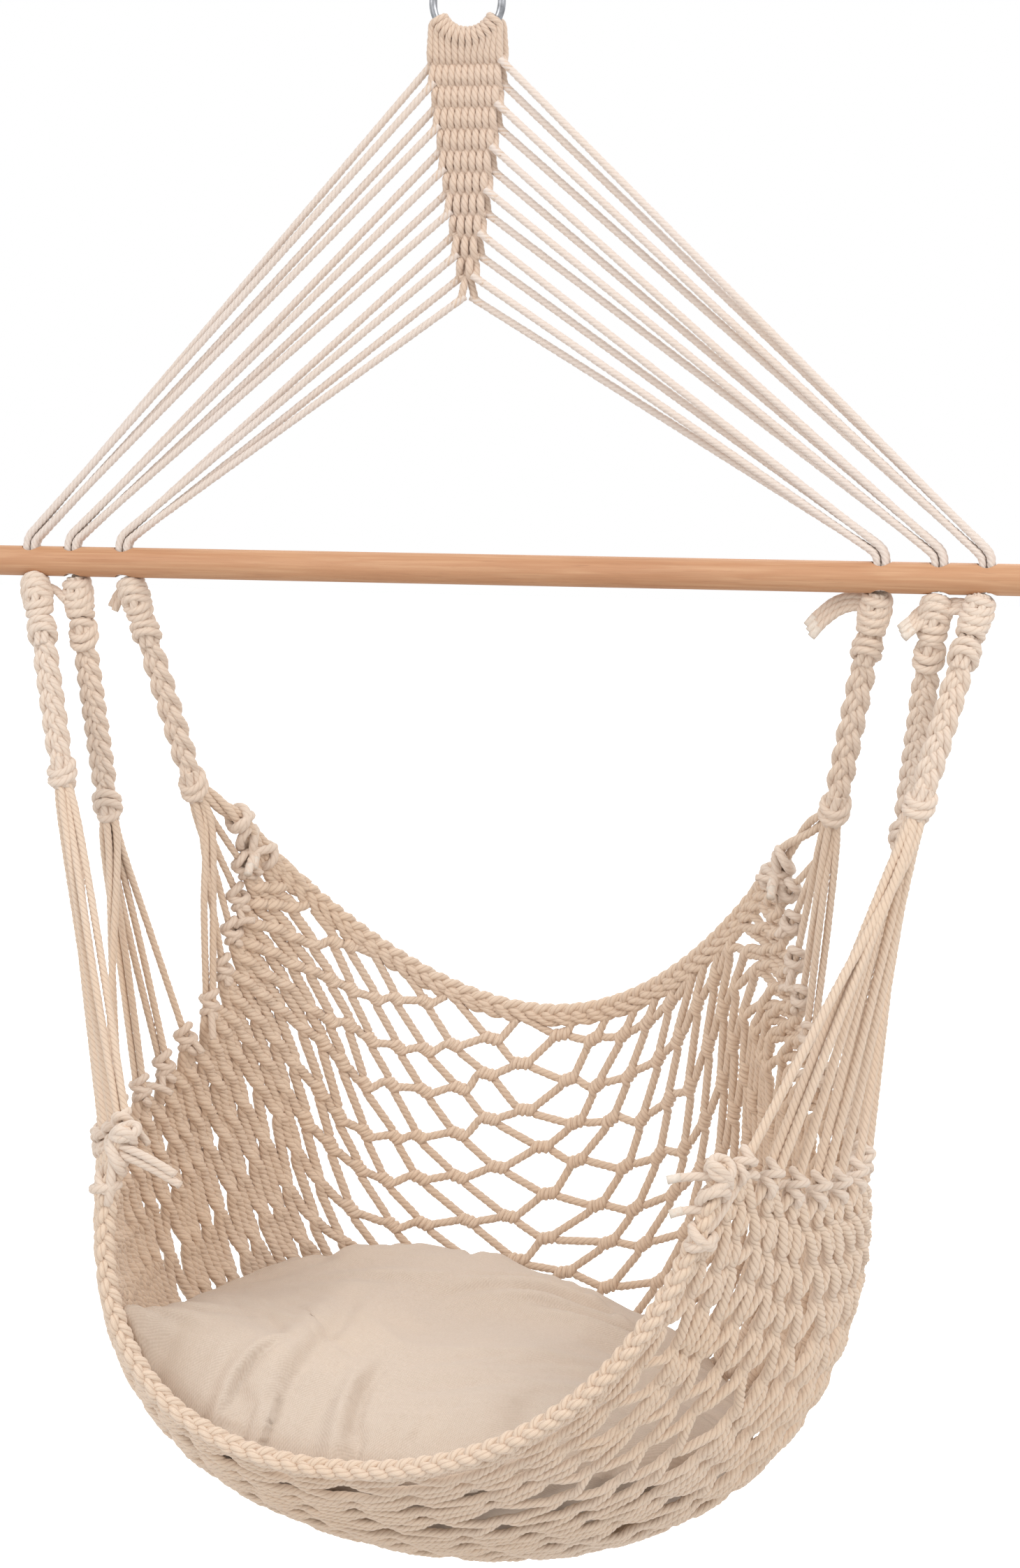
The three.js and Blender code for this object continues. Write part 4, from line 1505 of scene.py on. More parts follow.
@dataclass
class Leg:
    """One of the six legs from the bar to the net: its knots, braid and cords.

    Args:
        line: Line of the leg.
        finishes: The materials.
        tips: Taped ends to add to.
    """

    line: LegLine
    finishes: Finishes
    tips: TapedTips

    def bar_knot(self) -> None:
        """The wrapped knot that stops the cords under the bar."""
        line = self.line
        ropes = Ropes(KNOTTED)
        top, low = BAR_RADIUS, BAR_RADIUS + BAR_KNOT_LENGTH
        for k in range(KNOT_CORDS):
            angle = math.pi / 6 + k * TURN / KNOT_CORDS + np.linspace(0, 1.3, 26)
            share = np.linspace(0, 1, 26)
            out = 0.0038 + 0.0032 * smoothstep(share, 0.08, 0.4)
            along = (top + BELOW_WOOD) + (low - 0.0066 - top) * share
            ropes.cord(line.at(along, out * np.cos(angle), out * np.sin(angle)), 0.9, 1)
        ropes.cord(line.at(np.linspace(top + BELOW_WOOD, low - 0.004, 8), 0.0, 0.0), 1.0)
        lean = 1 if (line.side > 0) == (line.index != 1) else -1
        Wrap(top + 0.0056, 0.0078, 1.1, 0.1, 1, WRAP_BACK).lay(ropes, line)
        Wrap(top + 0.0150, 0.0090, 1.2, 0.75 * lean, 3, 238, 0.002).lay(ropes, line)
        Wrap(top + 0.0262, 0.0082, 1.15, -0.3 * lean, 2, WRAP_BACK).lay(ropes, line)
        self._tail(ropes)
        ropes.finish(f"stopper_knot_{line.name}", self.finishes.knot, f"bar_knot_{line.name}")

    def _tail(self, ropes: Ropes) -> None:
        """Lays the loose ends beside a bar knot, where the photograph shows them.

        Args:
            ropes: Where the cords go.
        """
        line = self.line
        side, length, count = LOOSE_ENDS.get(line.name, (0, 0.0, 0))
        share = np.linspace(0, 1, 20)
        for k in range(count):
            shift = (k - (count - 1) / 2) * 0.0052
            across = side * (0.004 + length * share**0.8) + shift * 0.5
            fall = BAR_RADIUS + 0.011 + shift * 0.6 + (0.030 if length > LONG_END else 0.012) * share**2
            depth = -0.002 - 0.004 * np.sin(math.pi * share) + shift * 0.4
            tail = line.at(fall, across, depth)
            ropes.cord(tail, 0.84, 1)
            if length > LONG_END:
                self.tips.cover(tail)

    def _loop(self, ropes: Ropes, middle: float, radius: float, lean: int) -> None:
        """Slings two wide cords round the leg, leaning to one side."""
        tilt = 0.65 * lean
        Wrap(middle, radius, 1.25, tilt, 2, 230, 0.003, LOOP_SPACING, LOOP_FLAT).lay(ropes, self.line)

    def braid(self) -> None:
        """The knot under the bar knot and the braid of three strands below it."""
        line = self.line
        ropes = Ropes(SOFT)
        start = BAR_RADIUS + BAR_KNOT_LENGTH
        end = line.reach - LOWER_KNOT_LENGTH / 2
        middle = start + BRAID_KNOT_LENGTH / 2
        core(ropes, line, start - 0.002, start + BRAID_KNOT_LENGTH, 0.0046, 5, 1.2)
        lean = 1 if line.index % 2 else -1
        self._loop(ropes, middle + 0.001, 0.0093, lean)
        Wrap(middle - 0.006, 0.0070, 1.1, -0.6 * lean, 1, WRAP_BACK).lay(ropes, line)
        top, low = start + BRAID_KNOT_LENGTH - 0.003, end + 0.003
        share = np.linspace(0, 1, int((low - top) / 0.0008))
        periods = max(round((low - top) / BRAID_TURN), 1)
        for strand in range(3):
            phase = TURN * (periods * share + strand / 3)
            gather = 1 - 0.35 * at_ends(share, 0.1)
            across, depth = BRAID_WIDE * gather * np.sin(phase), BRAID_DEEP * np.sin(2 * phase)
            middle_run = line.at(top + (low - top) * share, across, depth)
            along = unit(np.gradient(middle_run, axis=0))
            aside = unit(np.cross(along, line.depth))
            for place in (-1, 1):
                ropes.cord(middle_run + aside * (place * BRAID_SPREAD * gather[:, None]), 0.9, 2)
        ropes.finish(f"plaited_leg_{line.name}", self.finishes.knot, f"braid_{line.name}")

    def lower_knot(self) -> None:
        """The knot that gathers the leg's cords."""
        line = self.line
        ropes = Ropes(SOFT)
        core(ropes, line, line.reach - 0.012, line.reach + 0.0125, 0.0048, 5, 0.9)
        lean = -1 if line.index % 2 else 1
        self._loop(ropes, line.reach - 0.001, 0.0094, lean)
        Wrap(line.reach + 0.007, 0.0070, 1.1, -0.5 * lean, 1, 245).lay(ropes, line)
        ropes.finish(f"gathering_knot_{line.name}", self.finishes.knot, f"lower_knot_{line.name}")

    def cords(self) -> None:
        """The cords from the lower knot to the net's edge, each with a knot of its own."""
        line = self.line
        thick = THICK_CORDS.get(line.name, THIN_CORD)
        ropes = Ropes(Lay(radius=thick, lay=0.0200, depth=0.17, step=0.0015))
        knots = Ropes(SOFT)
        shares = EDGE_SHARES[line.index]
        start = line.reach + LOWER_KNOT_LENGTH / 2 - 0.006
        doubled = DOUBLED_CORDS.get(line.name, (0,))
        for k, share in enumerate(shares):
            rim = line.drape.point(line.side, share)
            right, behind, face = line.drape.frame(line.side * EDGE_U, share)
            end = rim + right * line.side * 0.001
            angle = TURN * k / len(shares) + 0.5
            leave = line.at(start, 0.0042 * math.cos(angle), 0.0042 * math.sin(angle))
            lower = line.at(start + 0.020, 0.0056 * math.cos(angle), 0.0056 * math.sin(angle))
            far = end + unit(lower - end) * 0.016
            for place in (-1, 1) if k in doubled else (0,):
                aside = unit(np.cross(end - lower, line.depth)) * thick * place
                bow = line.depth * 0.003 * math.sin(2.3 * k + place)
                half = lower * 0.5 + far * 0.5 + aside + bow
                route = Spline([leave, lower + aside * 0.7, half, far + aside, end + aside], 10)
                ropes.cord(route.points, 1.0, 1)
            hitch(knots, far, end, behind, face, 1.9 * k + line.side)
        node = f"suspension_cords_{line.name}"
        ropes.finish(f"suspension_{line.name}", self.finishes.net, node)
        knots.finish(f"edge_knots_{line.name}", self.finishes.knot)

    def build(self) -> None:
        """Builds the leg from the bar down."""
        self.bar_knot()
        self.braid()
        self.lower_knot()
        self.cords()


# ---- net


@dataclass
class Lattice:
    """The net's knuckles on the draped surface. Two cords wind round each other in each.

    Args:
        drape: The net's surface.
        columns: Columns to each side of the middle.
        low_row: Lowest row.
        high_row: Highest row.
        open_rows: Rows that hang open at the back.
        open_pitch: Share of the net's depth that an open row takes.
        wind: Radius at which the cords wind.
        half_turns: Half turns in an open knuckle.
        knuckle: Length of an open knuckle.
    """

    drape: Drape
    columns: int = 12
    low_row: int = -62
    high_row: int = 4
    open_rows: int = 15
    open_pitch: float = 0.0263
    wind: float = 0.0031
    half_turns: int = 3
    knuckle: float = 0.0165

    def level(self, j: Array) -> Array:
        """The share of the depth at a row in the middle. The rows close up under the sitter.

        Args:
            j: Row.

        Returns:
            The share, from 0 at the front to 1.
        """
        close_rows = self.high_row - self.low_row - self.open_rows
        close_pitch = (1 - self.open_rows * self.open_pitch) / close_rows
        below = 3 * np.logaddexp(0, (self.high_row - self.open_rows - j) / 3)
        return 1 - self.open_pitch * (self.high_row - j - below) - close_pitch * below

    def place(self, i: Array, j: Array) -> tuple[Array, Array]:
        """The place of a point of the lattice on the net.

        Args:
            i: Column.
            j: Row.

        Returns:
            The shares u and v.
        """
        i, j = np.asarray(i, float), np.asarray(j, float)
        u = 0.1 * i * (1 + 0.2 * np.exp(-((i / 4) ** 2)))
        u = u - 0.00408 * np.sign(i) * np.maximum(np.abs(i) - 5, 0) ** 2
        level = self.level(j)
        sheared = -0.116 * np.tanh((j + 4) / 8) * (1 - 0.8 * np.tanh(i / 3))
        u = u + sheared * np.clip(1 - u * u, 0, 1) * smoothstep(level, 0.2, 0.6)
        sag = np.where(i > -1, 0.0032, 0.0016) * (i + 1) ** 2 * smoothstep(level, 0, 0.5)
        even = (j - self.low_row) / (self.high_row - self.low_row)
        flanks = (1, 0.55), (-1, 0.35)
        right, left = (smoothstep(way * i / self.columns, low, 1.0) for way, low in flanks)
        side = np.where(i > 0, right, left)
        bunch = 0.0062 * np.sin(0.62 * j + 1.1 * np.sin(0.45 * i)) + 0.0036 * np.sin(1.47 * j + 0.8 * i)
        bunch = bunch * (1 - side) * smoothstep(-level, -0.66, -0.5)
        flank = 0.0042 * np.sin(0.83 * j + 0.9 * i) + 0.0026 * np.sin(1.9 * j - 0.7 * i)
        flank = flank * np.where(i < 0, 0.5, 1.0) * (level < 0.97)
        bunch = bunch + flank * smoothstep(np.abs(i), 3, 6) * smoothstep(-np.abs(i), -11.5, -9)
        run = level + sag
        return np.clip(u, -1, 1), run * (1 - side) + even * side + bunch * smoothstep(level, 0, 0.05)

    def middle(self, i: int, j: int) -> tuple[float, float]:
        """The place of a knuckle, with a small fixed irregularity.

        Args:
            i: Column.
            j: Row.

        Returns:
            The shares u and v.
        """
        if abs(i) >= self.columns:
            u, v = self.place(math.copysign(self.columns, i), j)
            knots = np.array(sum(EDGE_SHARES, ()))
            nearest = knots[np.argmin(np.abs(knots - v))]
            return float(u), float(v + 0.6 * (nearest - v))
        seed = math.sin(12.9898 * i + 78.233 * j) * 43758.5453
        other = math.sin(39.346 * i + 11.135 * j) * 24634.6345
        u, v = self.place(i + 0.3 * (seed % 1 - 0.5), j + 0.42 * (other % 1 - 0.5))
        return float(np.clip(u, -0.995, 0.995)), float(v)

    def inside(self, v: float) -> bool:
        """Whether a place lies between the borders."""
        return 0.004 < v < 0.99

    def cord(self, i: int, j: int, step: int) -> list[Array]:
        """Follows a cord through the lattice.

        Args:
            i: First column.
            j: First row.
            step: Rows from one column to the next.

        Returns:
            The cord's runs between the borders.
        """
        runs: list[Array] = []
        current: list[Array] = []
        previous: tuple[float, float] | None = None
        while i <= self.columns:
            here = self.middle(i, j)
            if self.inside(here[1]):
                if not current and previous is not None:
                    current.append(self._rim(previous, here))
                current.extend(self._knuckle(i, j, step))
            elif current:
                current.append(self._rim(here, self.middle(i - 1, j - step)))
                runs.append(np.array(current))
                current = []
            previous = here
            i, j = i + 1, j + step
        if current:
            runs.append(np.array(current))
        return runs

    def _rim(self, outside: tuple[float, float], inside: tuple[float, float]) -> Array:
        """Where a cord meets a border.

        Args:
            outside: Place of its knuckle beyond the border.
            inside: Place of its knuckle within the net.

        Returns:
            The place on the border, in the frame.
        """
        edge = 1.0 if outside[1] > 0.5 else 0.0
        gap = outside[1] - inside[1]
        share = min(max((edge - inside[1]) / gap if abs(gap) > 1e-6 else 1.0, 0.0), 1.0)
        return self.drape.point(inside[0] + (outside[0] - inside[0]) * share, edge)

    def _knuckle(self, i: int, j: int, step: int) -> list[Array]:
        """One cord's turns in a knuckle.

        Args:
            i: Column.
            j: Row.
            step: 1 for a cord that rises to the right, or -1.

        Returns:
            Places of the cord.
        """
        u, v = self.middle(i, j)
        here = self.drape.point(u, v)
        near = {
            (a, b): self.drape.point(*self.middle(min(max(i + a, -self.columns), self.columns), j + b))
            for a in (-1, 1)
            for b in (-1, 1)
        }
        _, _, face = self.drape.frame(u, min(max(v, 0.0), 1.0))
        ahead = unit(near[(1, 1)] + near[(1, -1)] - near[(-1, 1)] - near[(-1, -1)])
        up = unit(np.cross(face, ahead))
        face = np.cross(ahead, up)
        if abs(i) >= self.columns:
            way = math.copysign(1, i)
            lift = way * step * up
            ends = [here - way * ahead * 0.006 - lift * 0.003, here + lift * 0.0015]
            return ends if i > 0 else ends[::-1]
        nearest = min(float(np.linalg.norm(p - here)) for p in near.values())
        is_open = v > 0.6 - 0.02 * i and abs(i) < 8
        half_turns = self.half_turns if is_open else 1
        length = min(self.knuckle, 0.6 * nearest) if is_open else 0.62 * nearest
        turn = np.linspace(0, 1, 5 * half_turns + 3)[:, None]
        angle = -step * math.pi / 2 + math.pi * turn * (step if half_turns == 1 else half_turns)
        ease = self.wind * (1 - 0.12 * np.sin(math.pi * turn))
        spare = 0.0012 * step * float(smoothstep(abs(i), 7, 10))
        middle = here + ahead * (turn - 0.5) * length + face * spare
        return list(middle + ease * (np.sin(angle) * up + np.cos(angle) * face))


@dataclass
class Net:
    """The netted seat.

    Args:
        drape: The net's surface.
        finishes: The materials.
        parts: Pieces for each direction of the cords.
        swell_right: Extra radius of the right flank's cords.
        swell_left: Extra radius of the left flank's cords.
        flank: Where it sets in, from the middle.
    """

    drape: Drape
    finishes: Finishes
    parts: int = 3
    swell_right: float = 0.20
    swell_left: float = 0.36
    flank: tuple[float, float] = (0.13, 0.22)

    def runs(self, step: int) -> list[Array]:
        """Every run of cord in one direction of the lattice.

        Args:
            step: Rows from one column to the next.

        Returns:
            Places of each run.
        """
        lattice = Lattice(self.drape)
        first = -lattice.columns
        spare = 2 * lattice.columns + 4
        found = []
        for j in range(lattice.low_row - spare, lattice.high_row + spare):
            if (first + j) % 2 == 0:
                found.extend(lattice.cord(first, j, step))
        return [r for r in found if len(r) > 2]

    def build(self) -> None:
        """Lays the cords in three pieces for each direction."""
        total = 0.0
        for name, step in (("rising", 1), ("falling", -1)):
            runs = self.runs(step)
            lengths = np.cumsum([run_along(r)[-1] for r in runs])
            places = ((self.parts - 0.001) * lengths / lengths[-1]).astype(int)
            for part in range(self.parts):
                chosen = [run for run, place in zip(runs, places) if place == part]
                ropes = Ropes(SLACK)
                for run in chosen:
                    side = run[:, 0] - HANG_OFFSET
                    right, left = smoothstep(side, *self.flank), smoothstep(-side, *self.flank)
                    swell = self.swell_right * right + self.swell_left * left
                    ropes.cord(run, 1 + swell, 2)
                nodes = () if total else ("seat_net",)
                ropes.finish(f"net_{name}_{part + 1}", self.finishes.net, *nodes)
                total += ropes.metres
        log.info("net: %.1f m of cord", total)


# The wraps at a border's ends: place from the end, tilt and turns. The front border has more.
END_WRAPS = ((0.018, 1.2, 1.1), (0.010, 1.3, 1.2), (0.002, -1.2, 1.1), (-0.004, 0.9, 1.1))
FRONT_WRAPS = {
    -1: ((0.040, 0.8, 1.2), (0.035, -0.9, 1.1)),
    1: ((0.046, 0.8, 1.2), (0.050, -0.9, 1.1)),
}


@dataclass
class Border:
    """The plaited rope along the front or back edge of the net.

    Args:
        drape: The net's surface.
        finishes: The materials.
        v: Edge: 0 for the front, 1 for the back.
        node: Name of its CAD node.
        tips: Taped ends to add to.
        plait: Length of one turn of the plait.
        wide: Reach of the plait across.
        deep: Reach of the plait behind.
        twist: Length of one turn of the twist under it.
        twisted: Radius of the twist.
    """

    drape: Drape
    finishes: Finishes
    v: float
    node: str
    tips: TapedTips | None = None
    plait: float = 0.040
    wide: float = 0.0042
    deep: float = 0.0022
    twist: float = 0.031
    twisted: float = 0.0024

    def line(self, u: Array) -> tuple[Array, Array, Array]:
        """The middle of the rope.

        Args:
            u: Share across the net.

        Returns:
            Places, and directions outward and out of the net.
        """
        right, _, face = self.drape.frame(u, self.v)
        out = np.cross(face, right) * (1 if self.v else -1)
        return self.drape.point(u, self.v) + out * (BORDER_RADIUS + CLEAR), out, face

    def build(self) -> None:
        """Plaits three thick cords, over a twist of two that holds the net's cords."""
        ropes = Ropes(PLAITED)
        u = np.linspace(-1, 1, 1300)
        middle, out, face = self.line(u)
        flat, deep = (out, face) if self.v else (face, out)
        run = run_along(middle)
        for strand in range(3):
            phase = (TURN * (run / self.plait + strand / 3))[:, None]
            wave = self.wide * np.sin(phase) * flat + self.deep * np.sin(2 * phase) * deep
            ropes.cord(middle + out * 0.0015 + wave, 1.0, 1)
        for k in range(2):
            angle = (TURN * run / self.twist + math.pi * k)[:, None]
            ropes.cord(middle - out * 0.0050 + self.twisted * around(angle, out, face), 0.8, 1)
        ropes.finish(self.node.replace("_rope", "_cords"), self.finishes.net, self.node)
        self._ends()

    def _ends(self) -> None:
        """The knots that close the rope's two ends, with their loose tails."""
        ropes = Ropes(KNOTTED)
        for sign in (-1, 1):
            middle, out, face = (a[0] for a in self.line(np.array([sign * 0.985])))
            along = unit(np.cross(out, face)) * sign
            wraps = END_WRAPS + (FRONT_WRAPS[sign] if self.v == 0 else ())
            for k, (place, tilt, turns) in enumerate(wraps):
                turn = np.linspace(0, TURN * turns, 36)[:, None] + 2.4 * k + 2 * sign
                radius = 0.0092 - 0.0008 * (k % 2)
                turned = around(turn, out, 0.85 * face)
                lift = place + tilt * radius * 0.7 * np.sin(turn + 0.9 * k)
                ropes.cord(middle + along * lift + radius * turned, 1.0, 1)
            self._tails(ropes, sign, middle, out, face, along)
            if self.v == 0:
                self._loop(ropes, sign)
        ropes.finish(self.node.replace("_border_rope", "_border_knots"), self.finishes.knot)

    def _tails(
        self, ropes: Ropes, sign: int, middle: Array, out: Array, face: Array, along: Array
    ) -> None:
        """Lays two loose ends beside a knot. At the left front they lie across the flank.

        Args:
            ropes: Where the cords go.
            sign: -1 at the left, 1 at the right.
            middle: Middle of the knot.
            out: Direction outward.
            face: Direction out of it.
            along: Direction along the rope.
        """
        share = np.linspace(0, 1, 18)[:, None]
        front = self.v == 0
        for k in range(2):
            start = middle + along * 0.004 + out * 0.004 * (k - 0.5)
            sweep = along * 0.4 - out * (0.5 if self.v else -0.1) + face * 0.7
            reach = 0.026 - 0.007 * k
            if front and sign < 0:
                start = middle + along * 0.009 + out * 0.004 + vec(0, 0, 0.0066) * (k - 0.5)
                sweep, reach = vec(0.95, -0.1, -0.25), 0.050 - 0.004 * k
            elif front:
                start = middle + along * (0.003 + 0.024 * k) + out * 0.002
                sweep, reach = vec(-0.9, -0.25, 0.12), 0.034 - 0.008 * k
            fall = vec(0, 0, -0.006 if front else -0.012)
            tail = start + unit(sweep) * reach * share + fall * share**2
            ropes.cord(tail, 0.86 if front else 0.95, 1)
            if self.tips and not (front and sign < 0):
                self.tips.cover(tail)

    def _loop(self, ropes: Ropes, sign: int) -> None:
        """Lays the loop that hangs between the rope's end and the net's side edge.

        Args:
            ropes: Where the cords go.
            sign: -1 at the left, 1 at the right.
        """
        a, out, _ = (q[0] for q in self.line(np.array([sign * 0.86])))
        b = self.drape.point(sign, 0.055) + out * 0.004
        sag = (a + b) / 2 + out * 0.012 + vec(0, 0, -0.016 if sign > 0 else 0.020)
        places = [a - out * 0.004, a + out * 0.006, sag, b, b - out * 0.01]
        ropes.cord(Spline(places, 16).points, 0.95, 1)


@dataclass
class CornerRopes:
    """The ropes from the two back legs' knots to the ends of the back border.

    Args:
        drape: The net's surface.
        finishes: The materials.
        twisted: Radius at which the cords twist.
        knotted: Radius of the knot's wraps.
    """

    drape: Drape
    finishes: Finishes
    twisted: float = 0.0034
    knotted: float = 0.0088

    def build(self) -> None:
        """Lays the cords to each end, knotted on their way at the left."""
        ropes = Ropes(SLACK)
        knots = Ropes(KNOTTED)
        border = Border(self.drape, self.finishes, 1.0, "")
        for side, count in ((-1, 3), (1, 2)):
            line = LegLine(side, 2, self.drape)
            start = line.at(line.reach + 0.004, -0.004 * side, 0.0)
            middle, out, _ = (a[0] for a in border.line(np.array([side * 0.97])))
            inner, _, _ = (a[0] for a in border.line(np.array([side * 0.86])))
            bend = start * 0.45 + middle * 0.55 + vec(-side * 0.004, 0, 0.004)
            spine = Spline([start, bend, middle + out * 0.003, inner + out * 0.003], 40)
            share = np.linspace(0, 1, 160)
            run = spine.at(share)
            first, second = frames_along(run)
            for k in range(count):
                angle = (TURN * (k / count) + 9.0 * share)[:, None]
                ropes.cord(run + self.twisted * around(angle, first, second), 0.95, 1)
            if side < 0:
                here = spine.at(0.34)
                ahead = unit(spine.at(0.36) - spine.at(0.32))
                for k in range(2):
                    angle = np.linspace(0, TURN * 1.3, 36)[:, None] + 2 * k
                    across = unit(np.cross(ahead, vec(0, 1, 0)))
                    up = np.cross(ahead, across)
                    place = ahead * (0.005 * (k - 0.5) + 0.004 * (1 - 2 * k) * np.sin(angle))
                    knots.cord(here + place + self.knotted * around(angle, across, up), 1.0, 1)
        ropes.finish("corner_ropes", self.finishes.net)
        knots.finish("corner_knot", self.finishes.knot)


# ---- cushion


@dataclass(frozen=True)
class Crease:
    """A fold of the cushion's upper panel.

    Args:
        places: Shares (s, t) of the panel that it runs through.
        depth: Its depth in metres.
        width: Its width in metres.
    """

    places: tuple[tuple[float, float], ...]
    depth: float
    width: float

    def sink(self, x: Array, y: Array) -> Array:
        """How far the fold moves each place in or out.

        Args:
            x: Place across the flat panel.
            y: Place along it.

        Returns:
            Distances, positive inward.
        """
        flat = (flat_panel(np.array(s), np.array(t)) for s, t in self.places)
        line = Spline(np.array([(*place, 0.0) for place in flat]), 12)
        near = np.full(x.shape, 1e9)
        signed, along = np.zeros(x.shape), np.zeros(x.shape)
        for k in range(len(line.points) - 1):
            a, b = line.points[k, :2], line.points[k + 1, :2]
            d = b - a
            share = np.clip(((x - a[0]) * d[0] + (y - a[1]) * d[1]) / (d @ d), 0, 1)
            ex, ey = x - a[0] - share * d[0], y - a[1] - share * d[1]
            far = np.hypot(ex, ey)
            closer = far < near
            near = np.where(closer, far, near)
            signed = np.where(closer, np.sign(d[0] * ey - d[1] * ex) * far, signed)
            here = line.shares[k] + share * (line.shares[k + 1] - line.shares[k])
            along = np.where(closer, here, along)
        fade = 1 - smoothstep(along, 0.3, 1.0)
        x = signed / self.width
        fold = 0.6 * np.exp(-(((x + 0.9) / 1.1) ** 2)) - 0.8 * np.exp(-(((x - 2.0) / 2.2) ** 2))
        return self.depth * fade * fold


def vertex_values(mesh: bpy.types.Mesh, name: str) -> Array:
    """The places or normals of a mesh's vertices."""
    values = np.empty(len(mesh.vertices) * 3)
    mesh.vertices.foreach_get(name, values)
    return values.reshape(-1, 3)


def select(piece: Object) -> None:
    """Makes a piece the only selected object, and the active one."""
    bpy.ops.object.select_all(action="DESELECT")
    bpy.context.view_layer.objects.active = piece
    piece.select_set(True)


def flat_panel(s: Array, t: Array) -> tuple[Array, Array]:
    """The place on the cushion's flat panel, in metres."""
    return 0.24 * s, np.where(t < 0, 0.21, 0.28) * t


CREASES = (
    Crease(((0.27, -1.0), (0.22, -0.97), (0.18, -0.91), (0.12, -0.78), (0.01, -0.38)), 0.0098, 0.0042),
    Crease(((-0.21, -1.0), (-0.27, -0.99), (-0.32, -0.97), (-0.32, -0.88), (-0.26, -0.55)), 0.0082, 0.0042),
    Crease(((-0.12, -0.92), (-0.18, -0.67), (-0.37, 0.05), (-0.29, 0.43), (-0.19, 0.61)), 0.0070, 0.0085),
    Crease(((0.42, 0.72), (0.25, 0.69), (-0.01, 0.53), (-0.15, 0.42)), 0.0065, 0.006),
    Crease(((0.50, 0.62), (0.33, 0.57), (0.04, 0.43), (-0.1, 0.2)), 0.0075, 0.007),
    Crease(((0.62, 0.5), (0.44, 0.44), (0.15, 0.4), (0.0, 0.3)), 0.0070, 0.007),
    Crease(((0.7, 0.3), (0.5, 0.2), (0.3, 0.12)), 0.005, 0.01),
    Crease(((-1.0, -0.6), (-0.8, -0.45), (-0.62, -0.2)), 0.006, 0.009),
    Crease(((-1.0, -0.85), (-0.75, -0.8), (-0.55, -0.72)), 0.005, 0.008),
    Crease(((0.75, -0.9), (0.62, -0.7), (0.55, -0.45)), 0.006, 0.009),
    Crease(((-0.7, 1.0), (-0.66, 0.8), (-0.55, 0.6)), 0.005, 0.01),
    Crease(((0.05, 1.0), (0.0, 0.85), (-0.02, 0.7)), 0.004, 0.008),
)
PANEL_NAMES = ("panel_s", "panel_t", "panel_up")


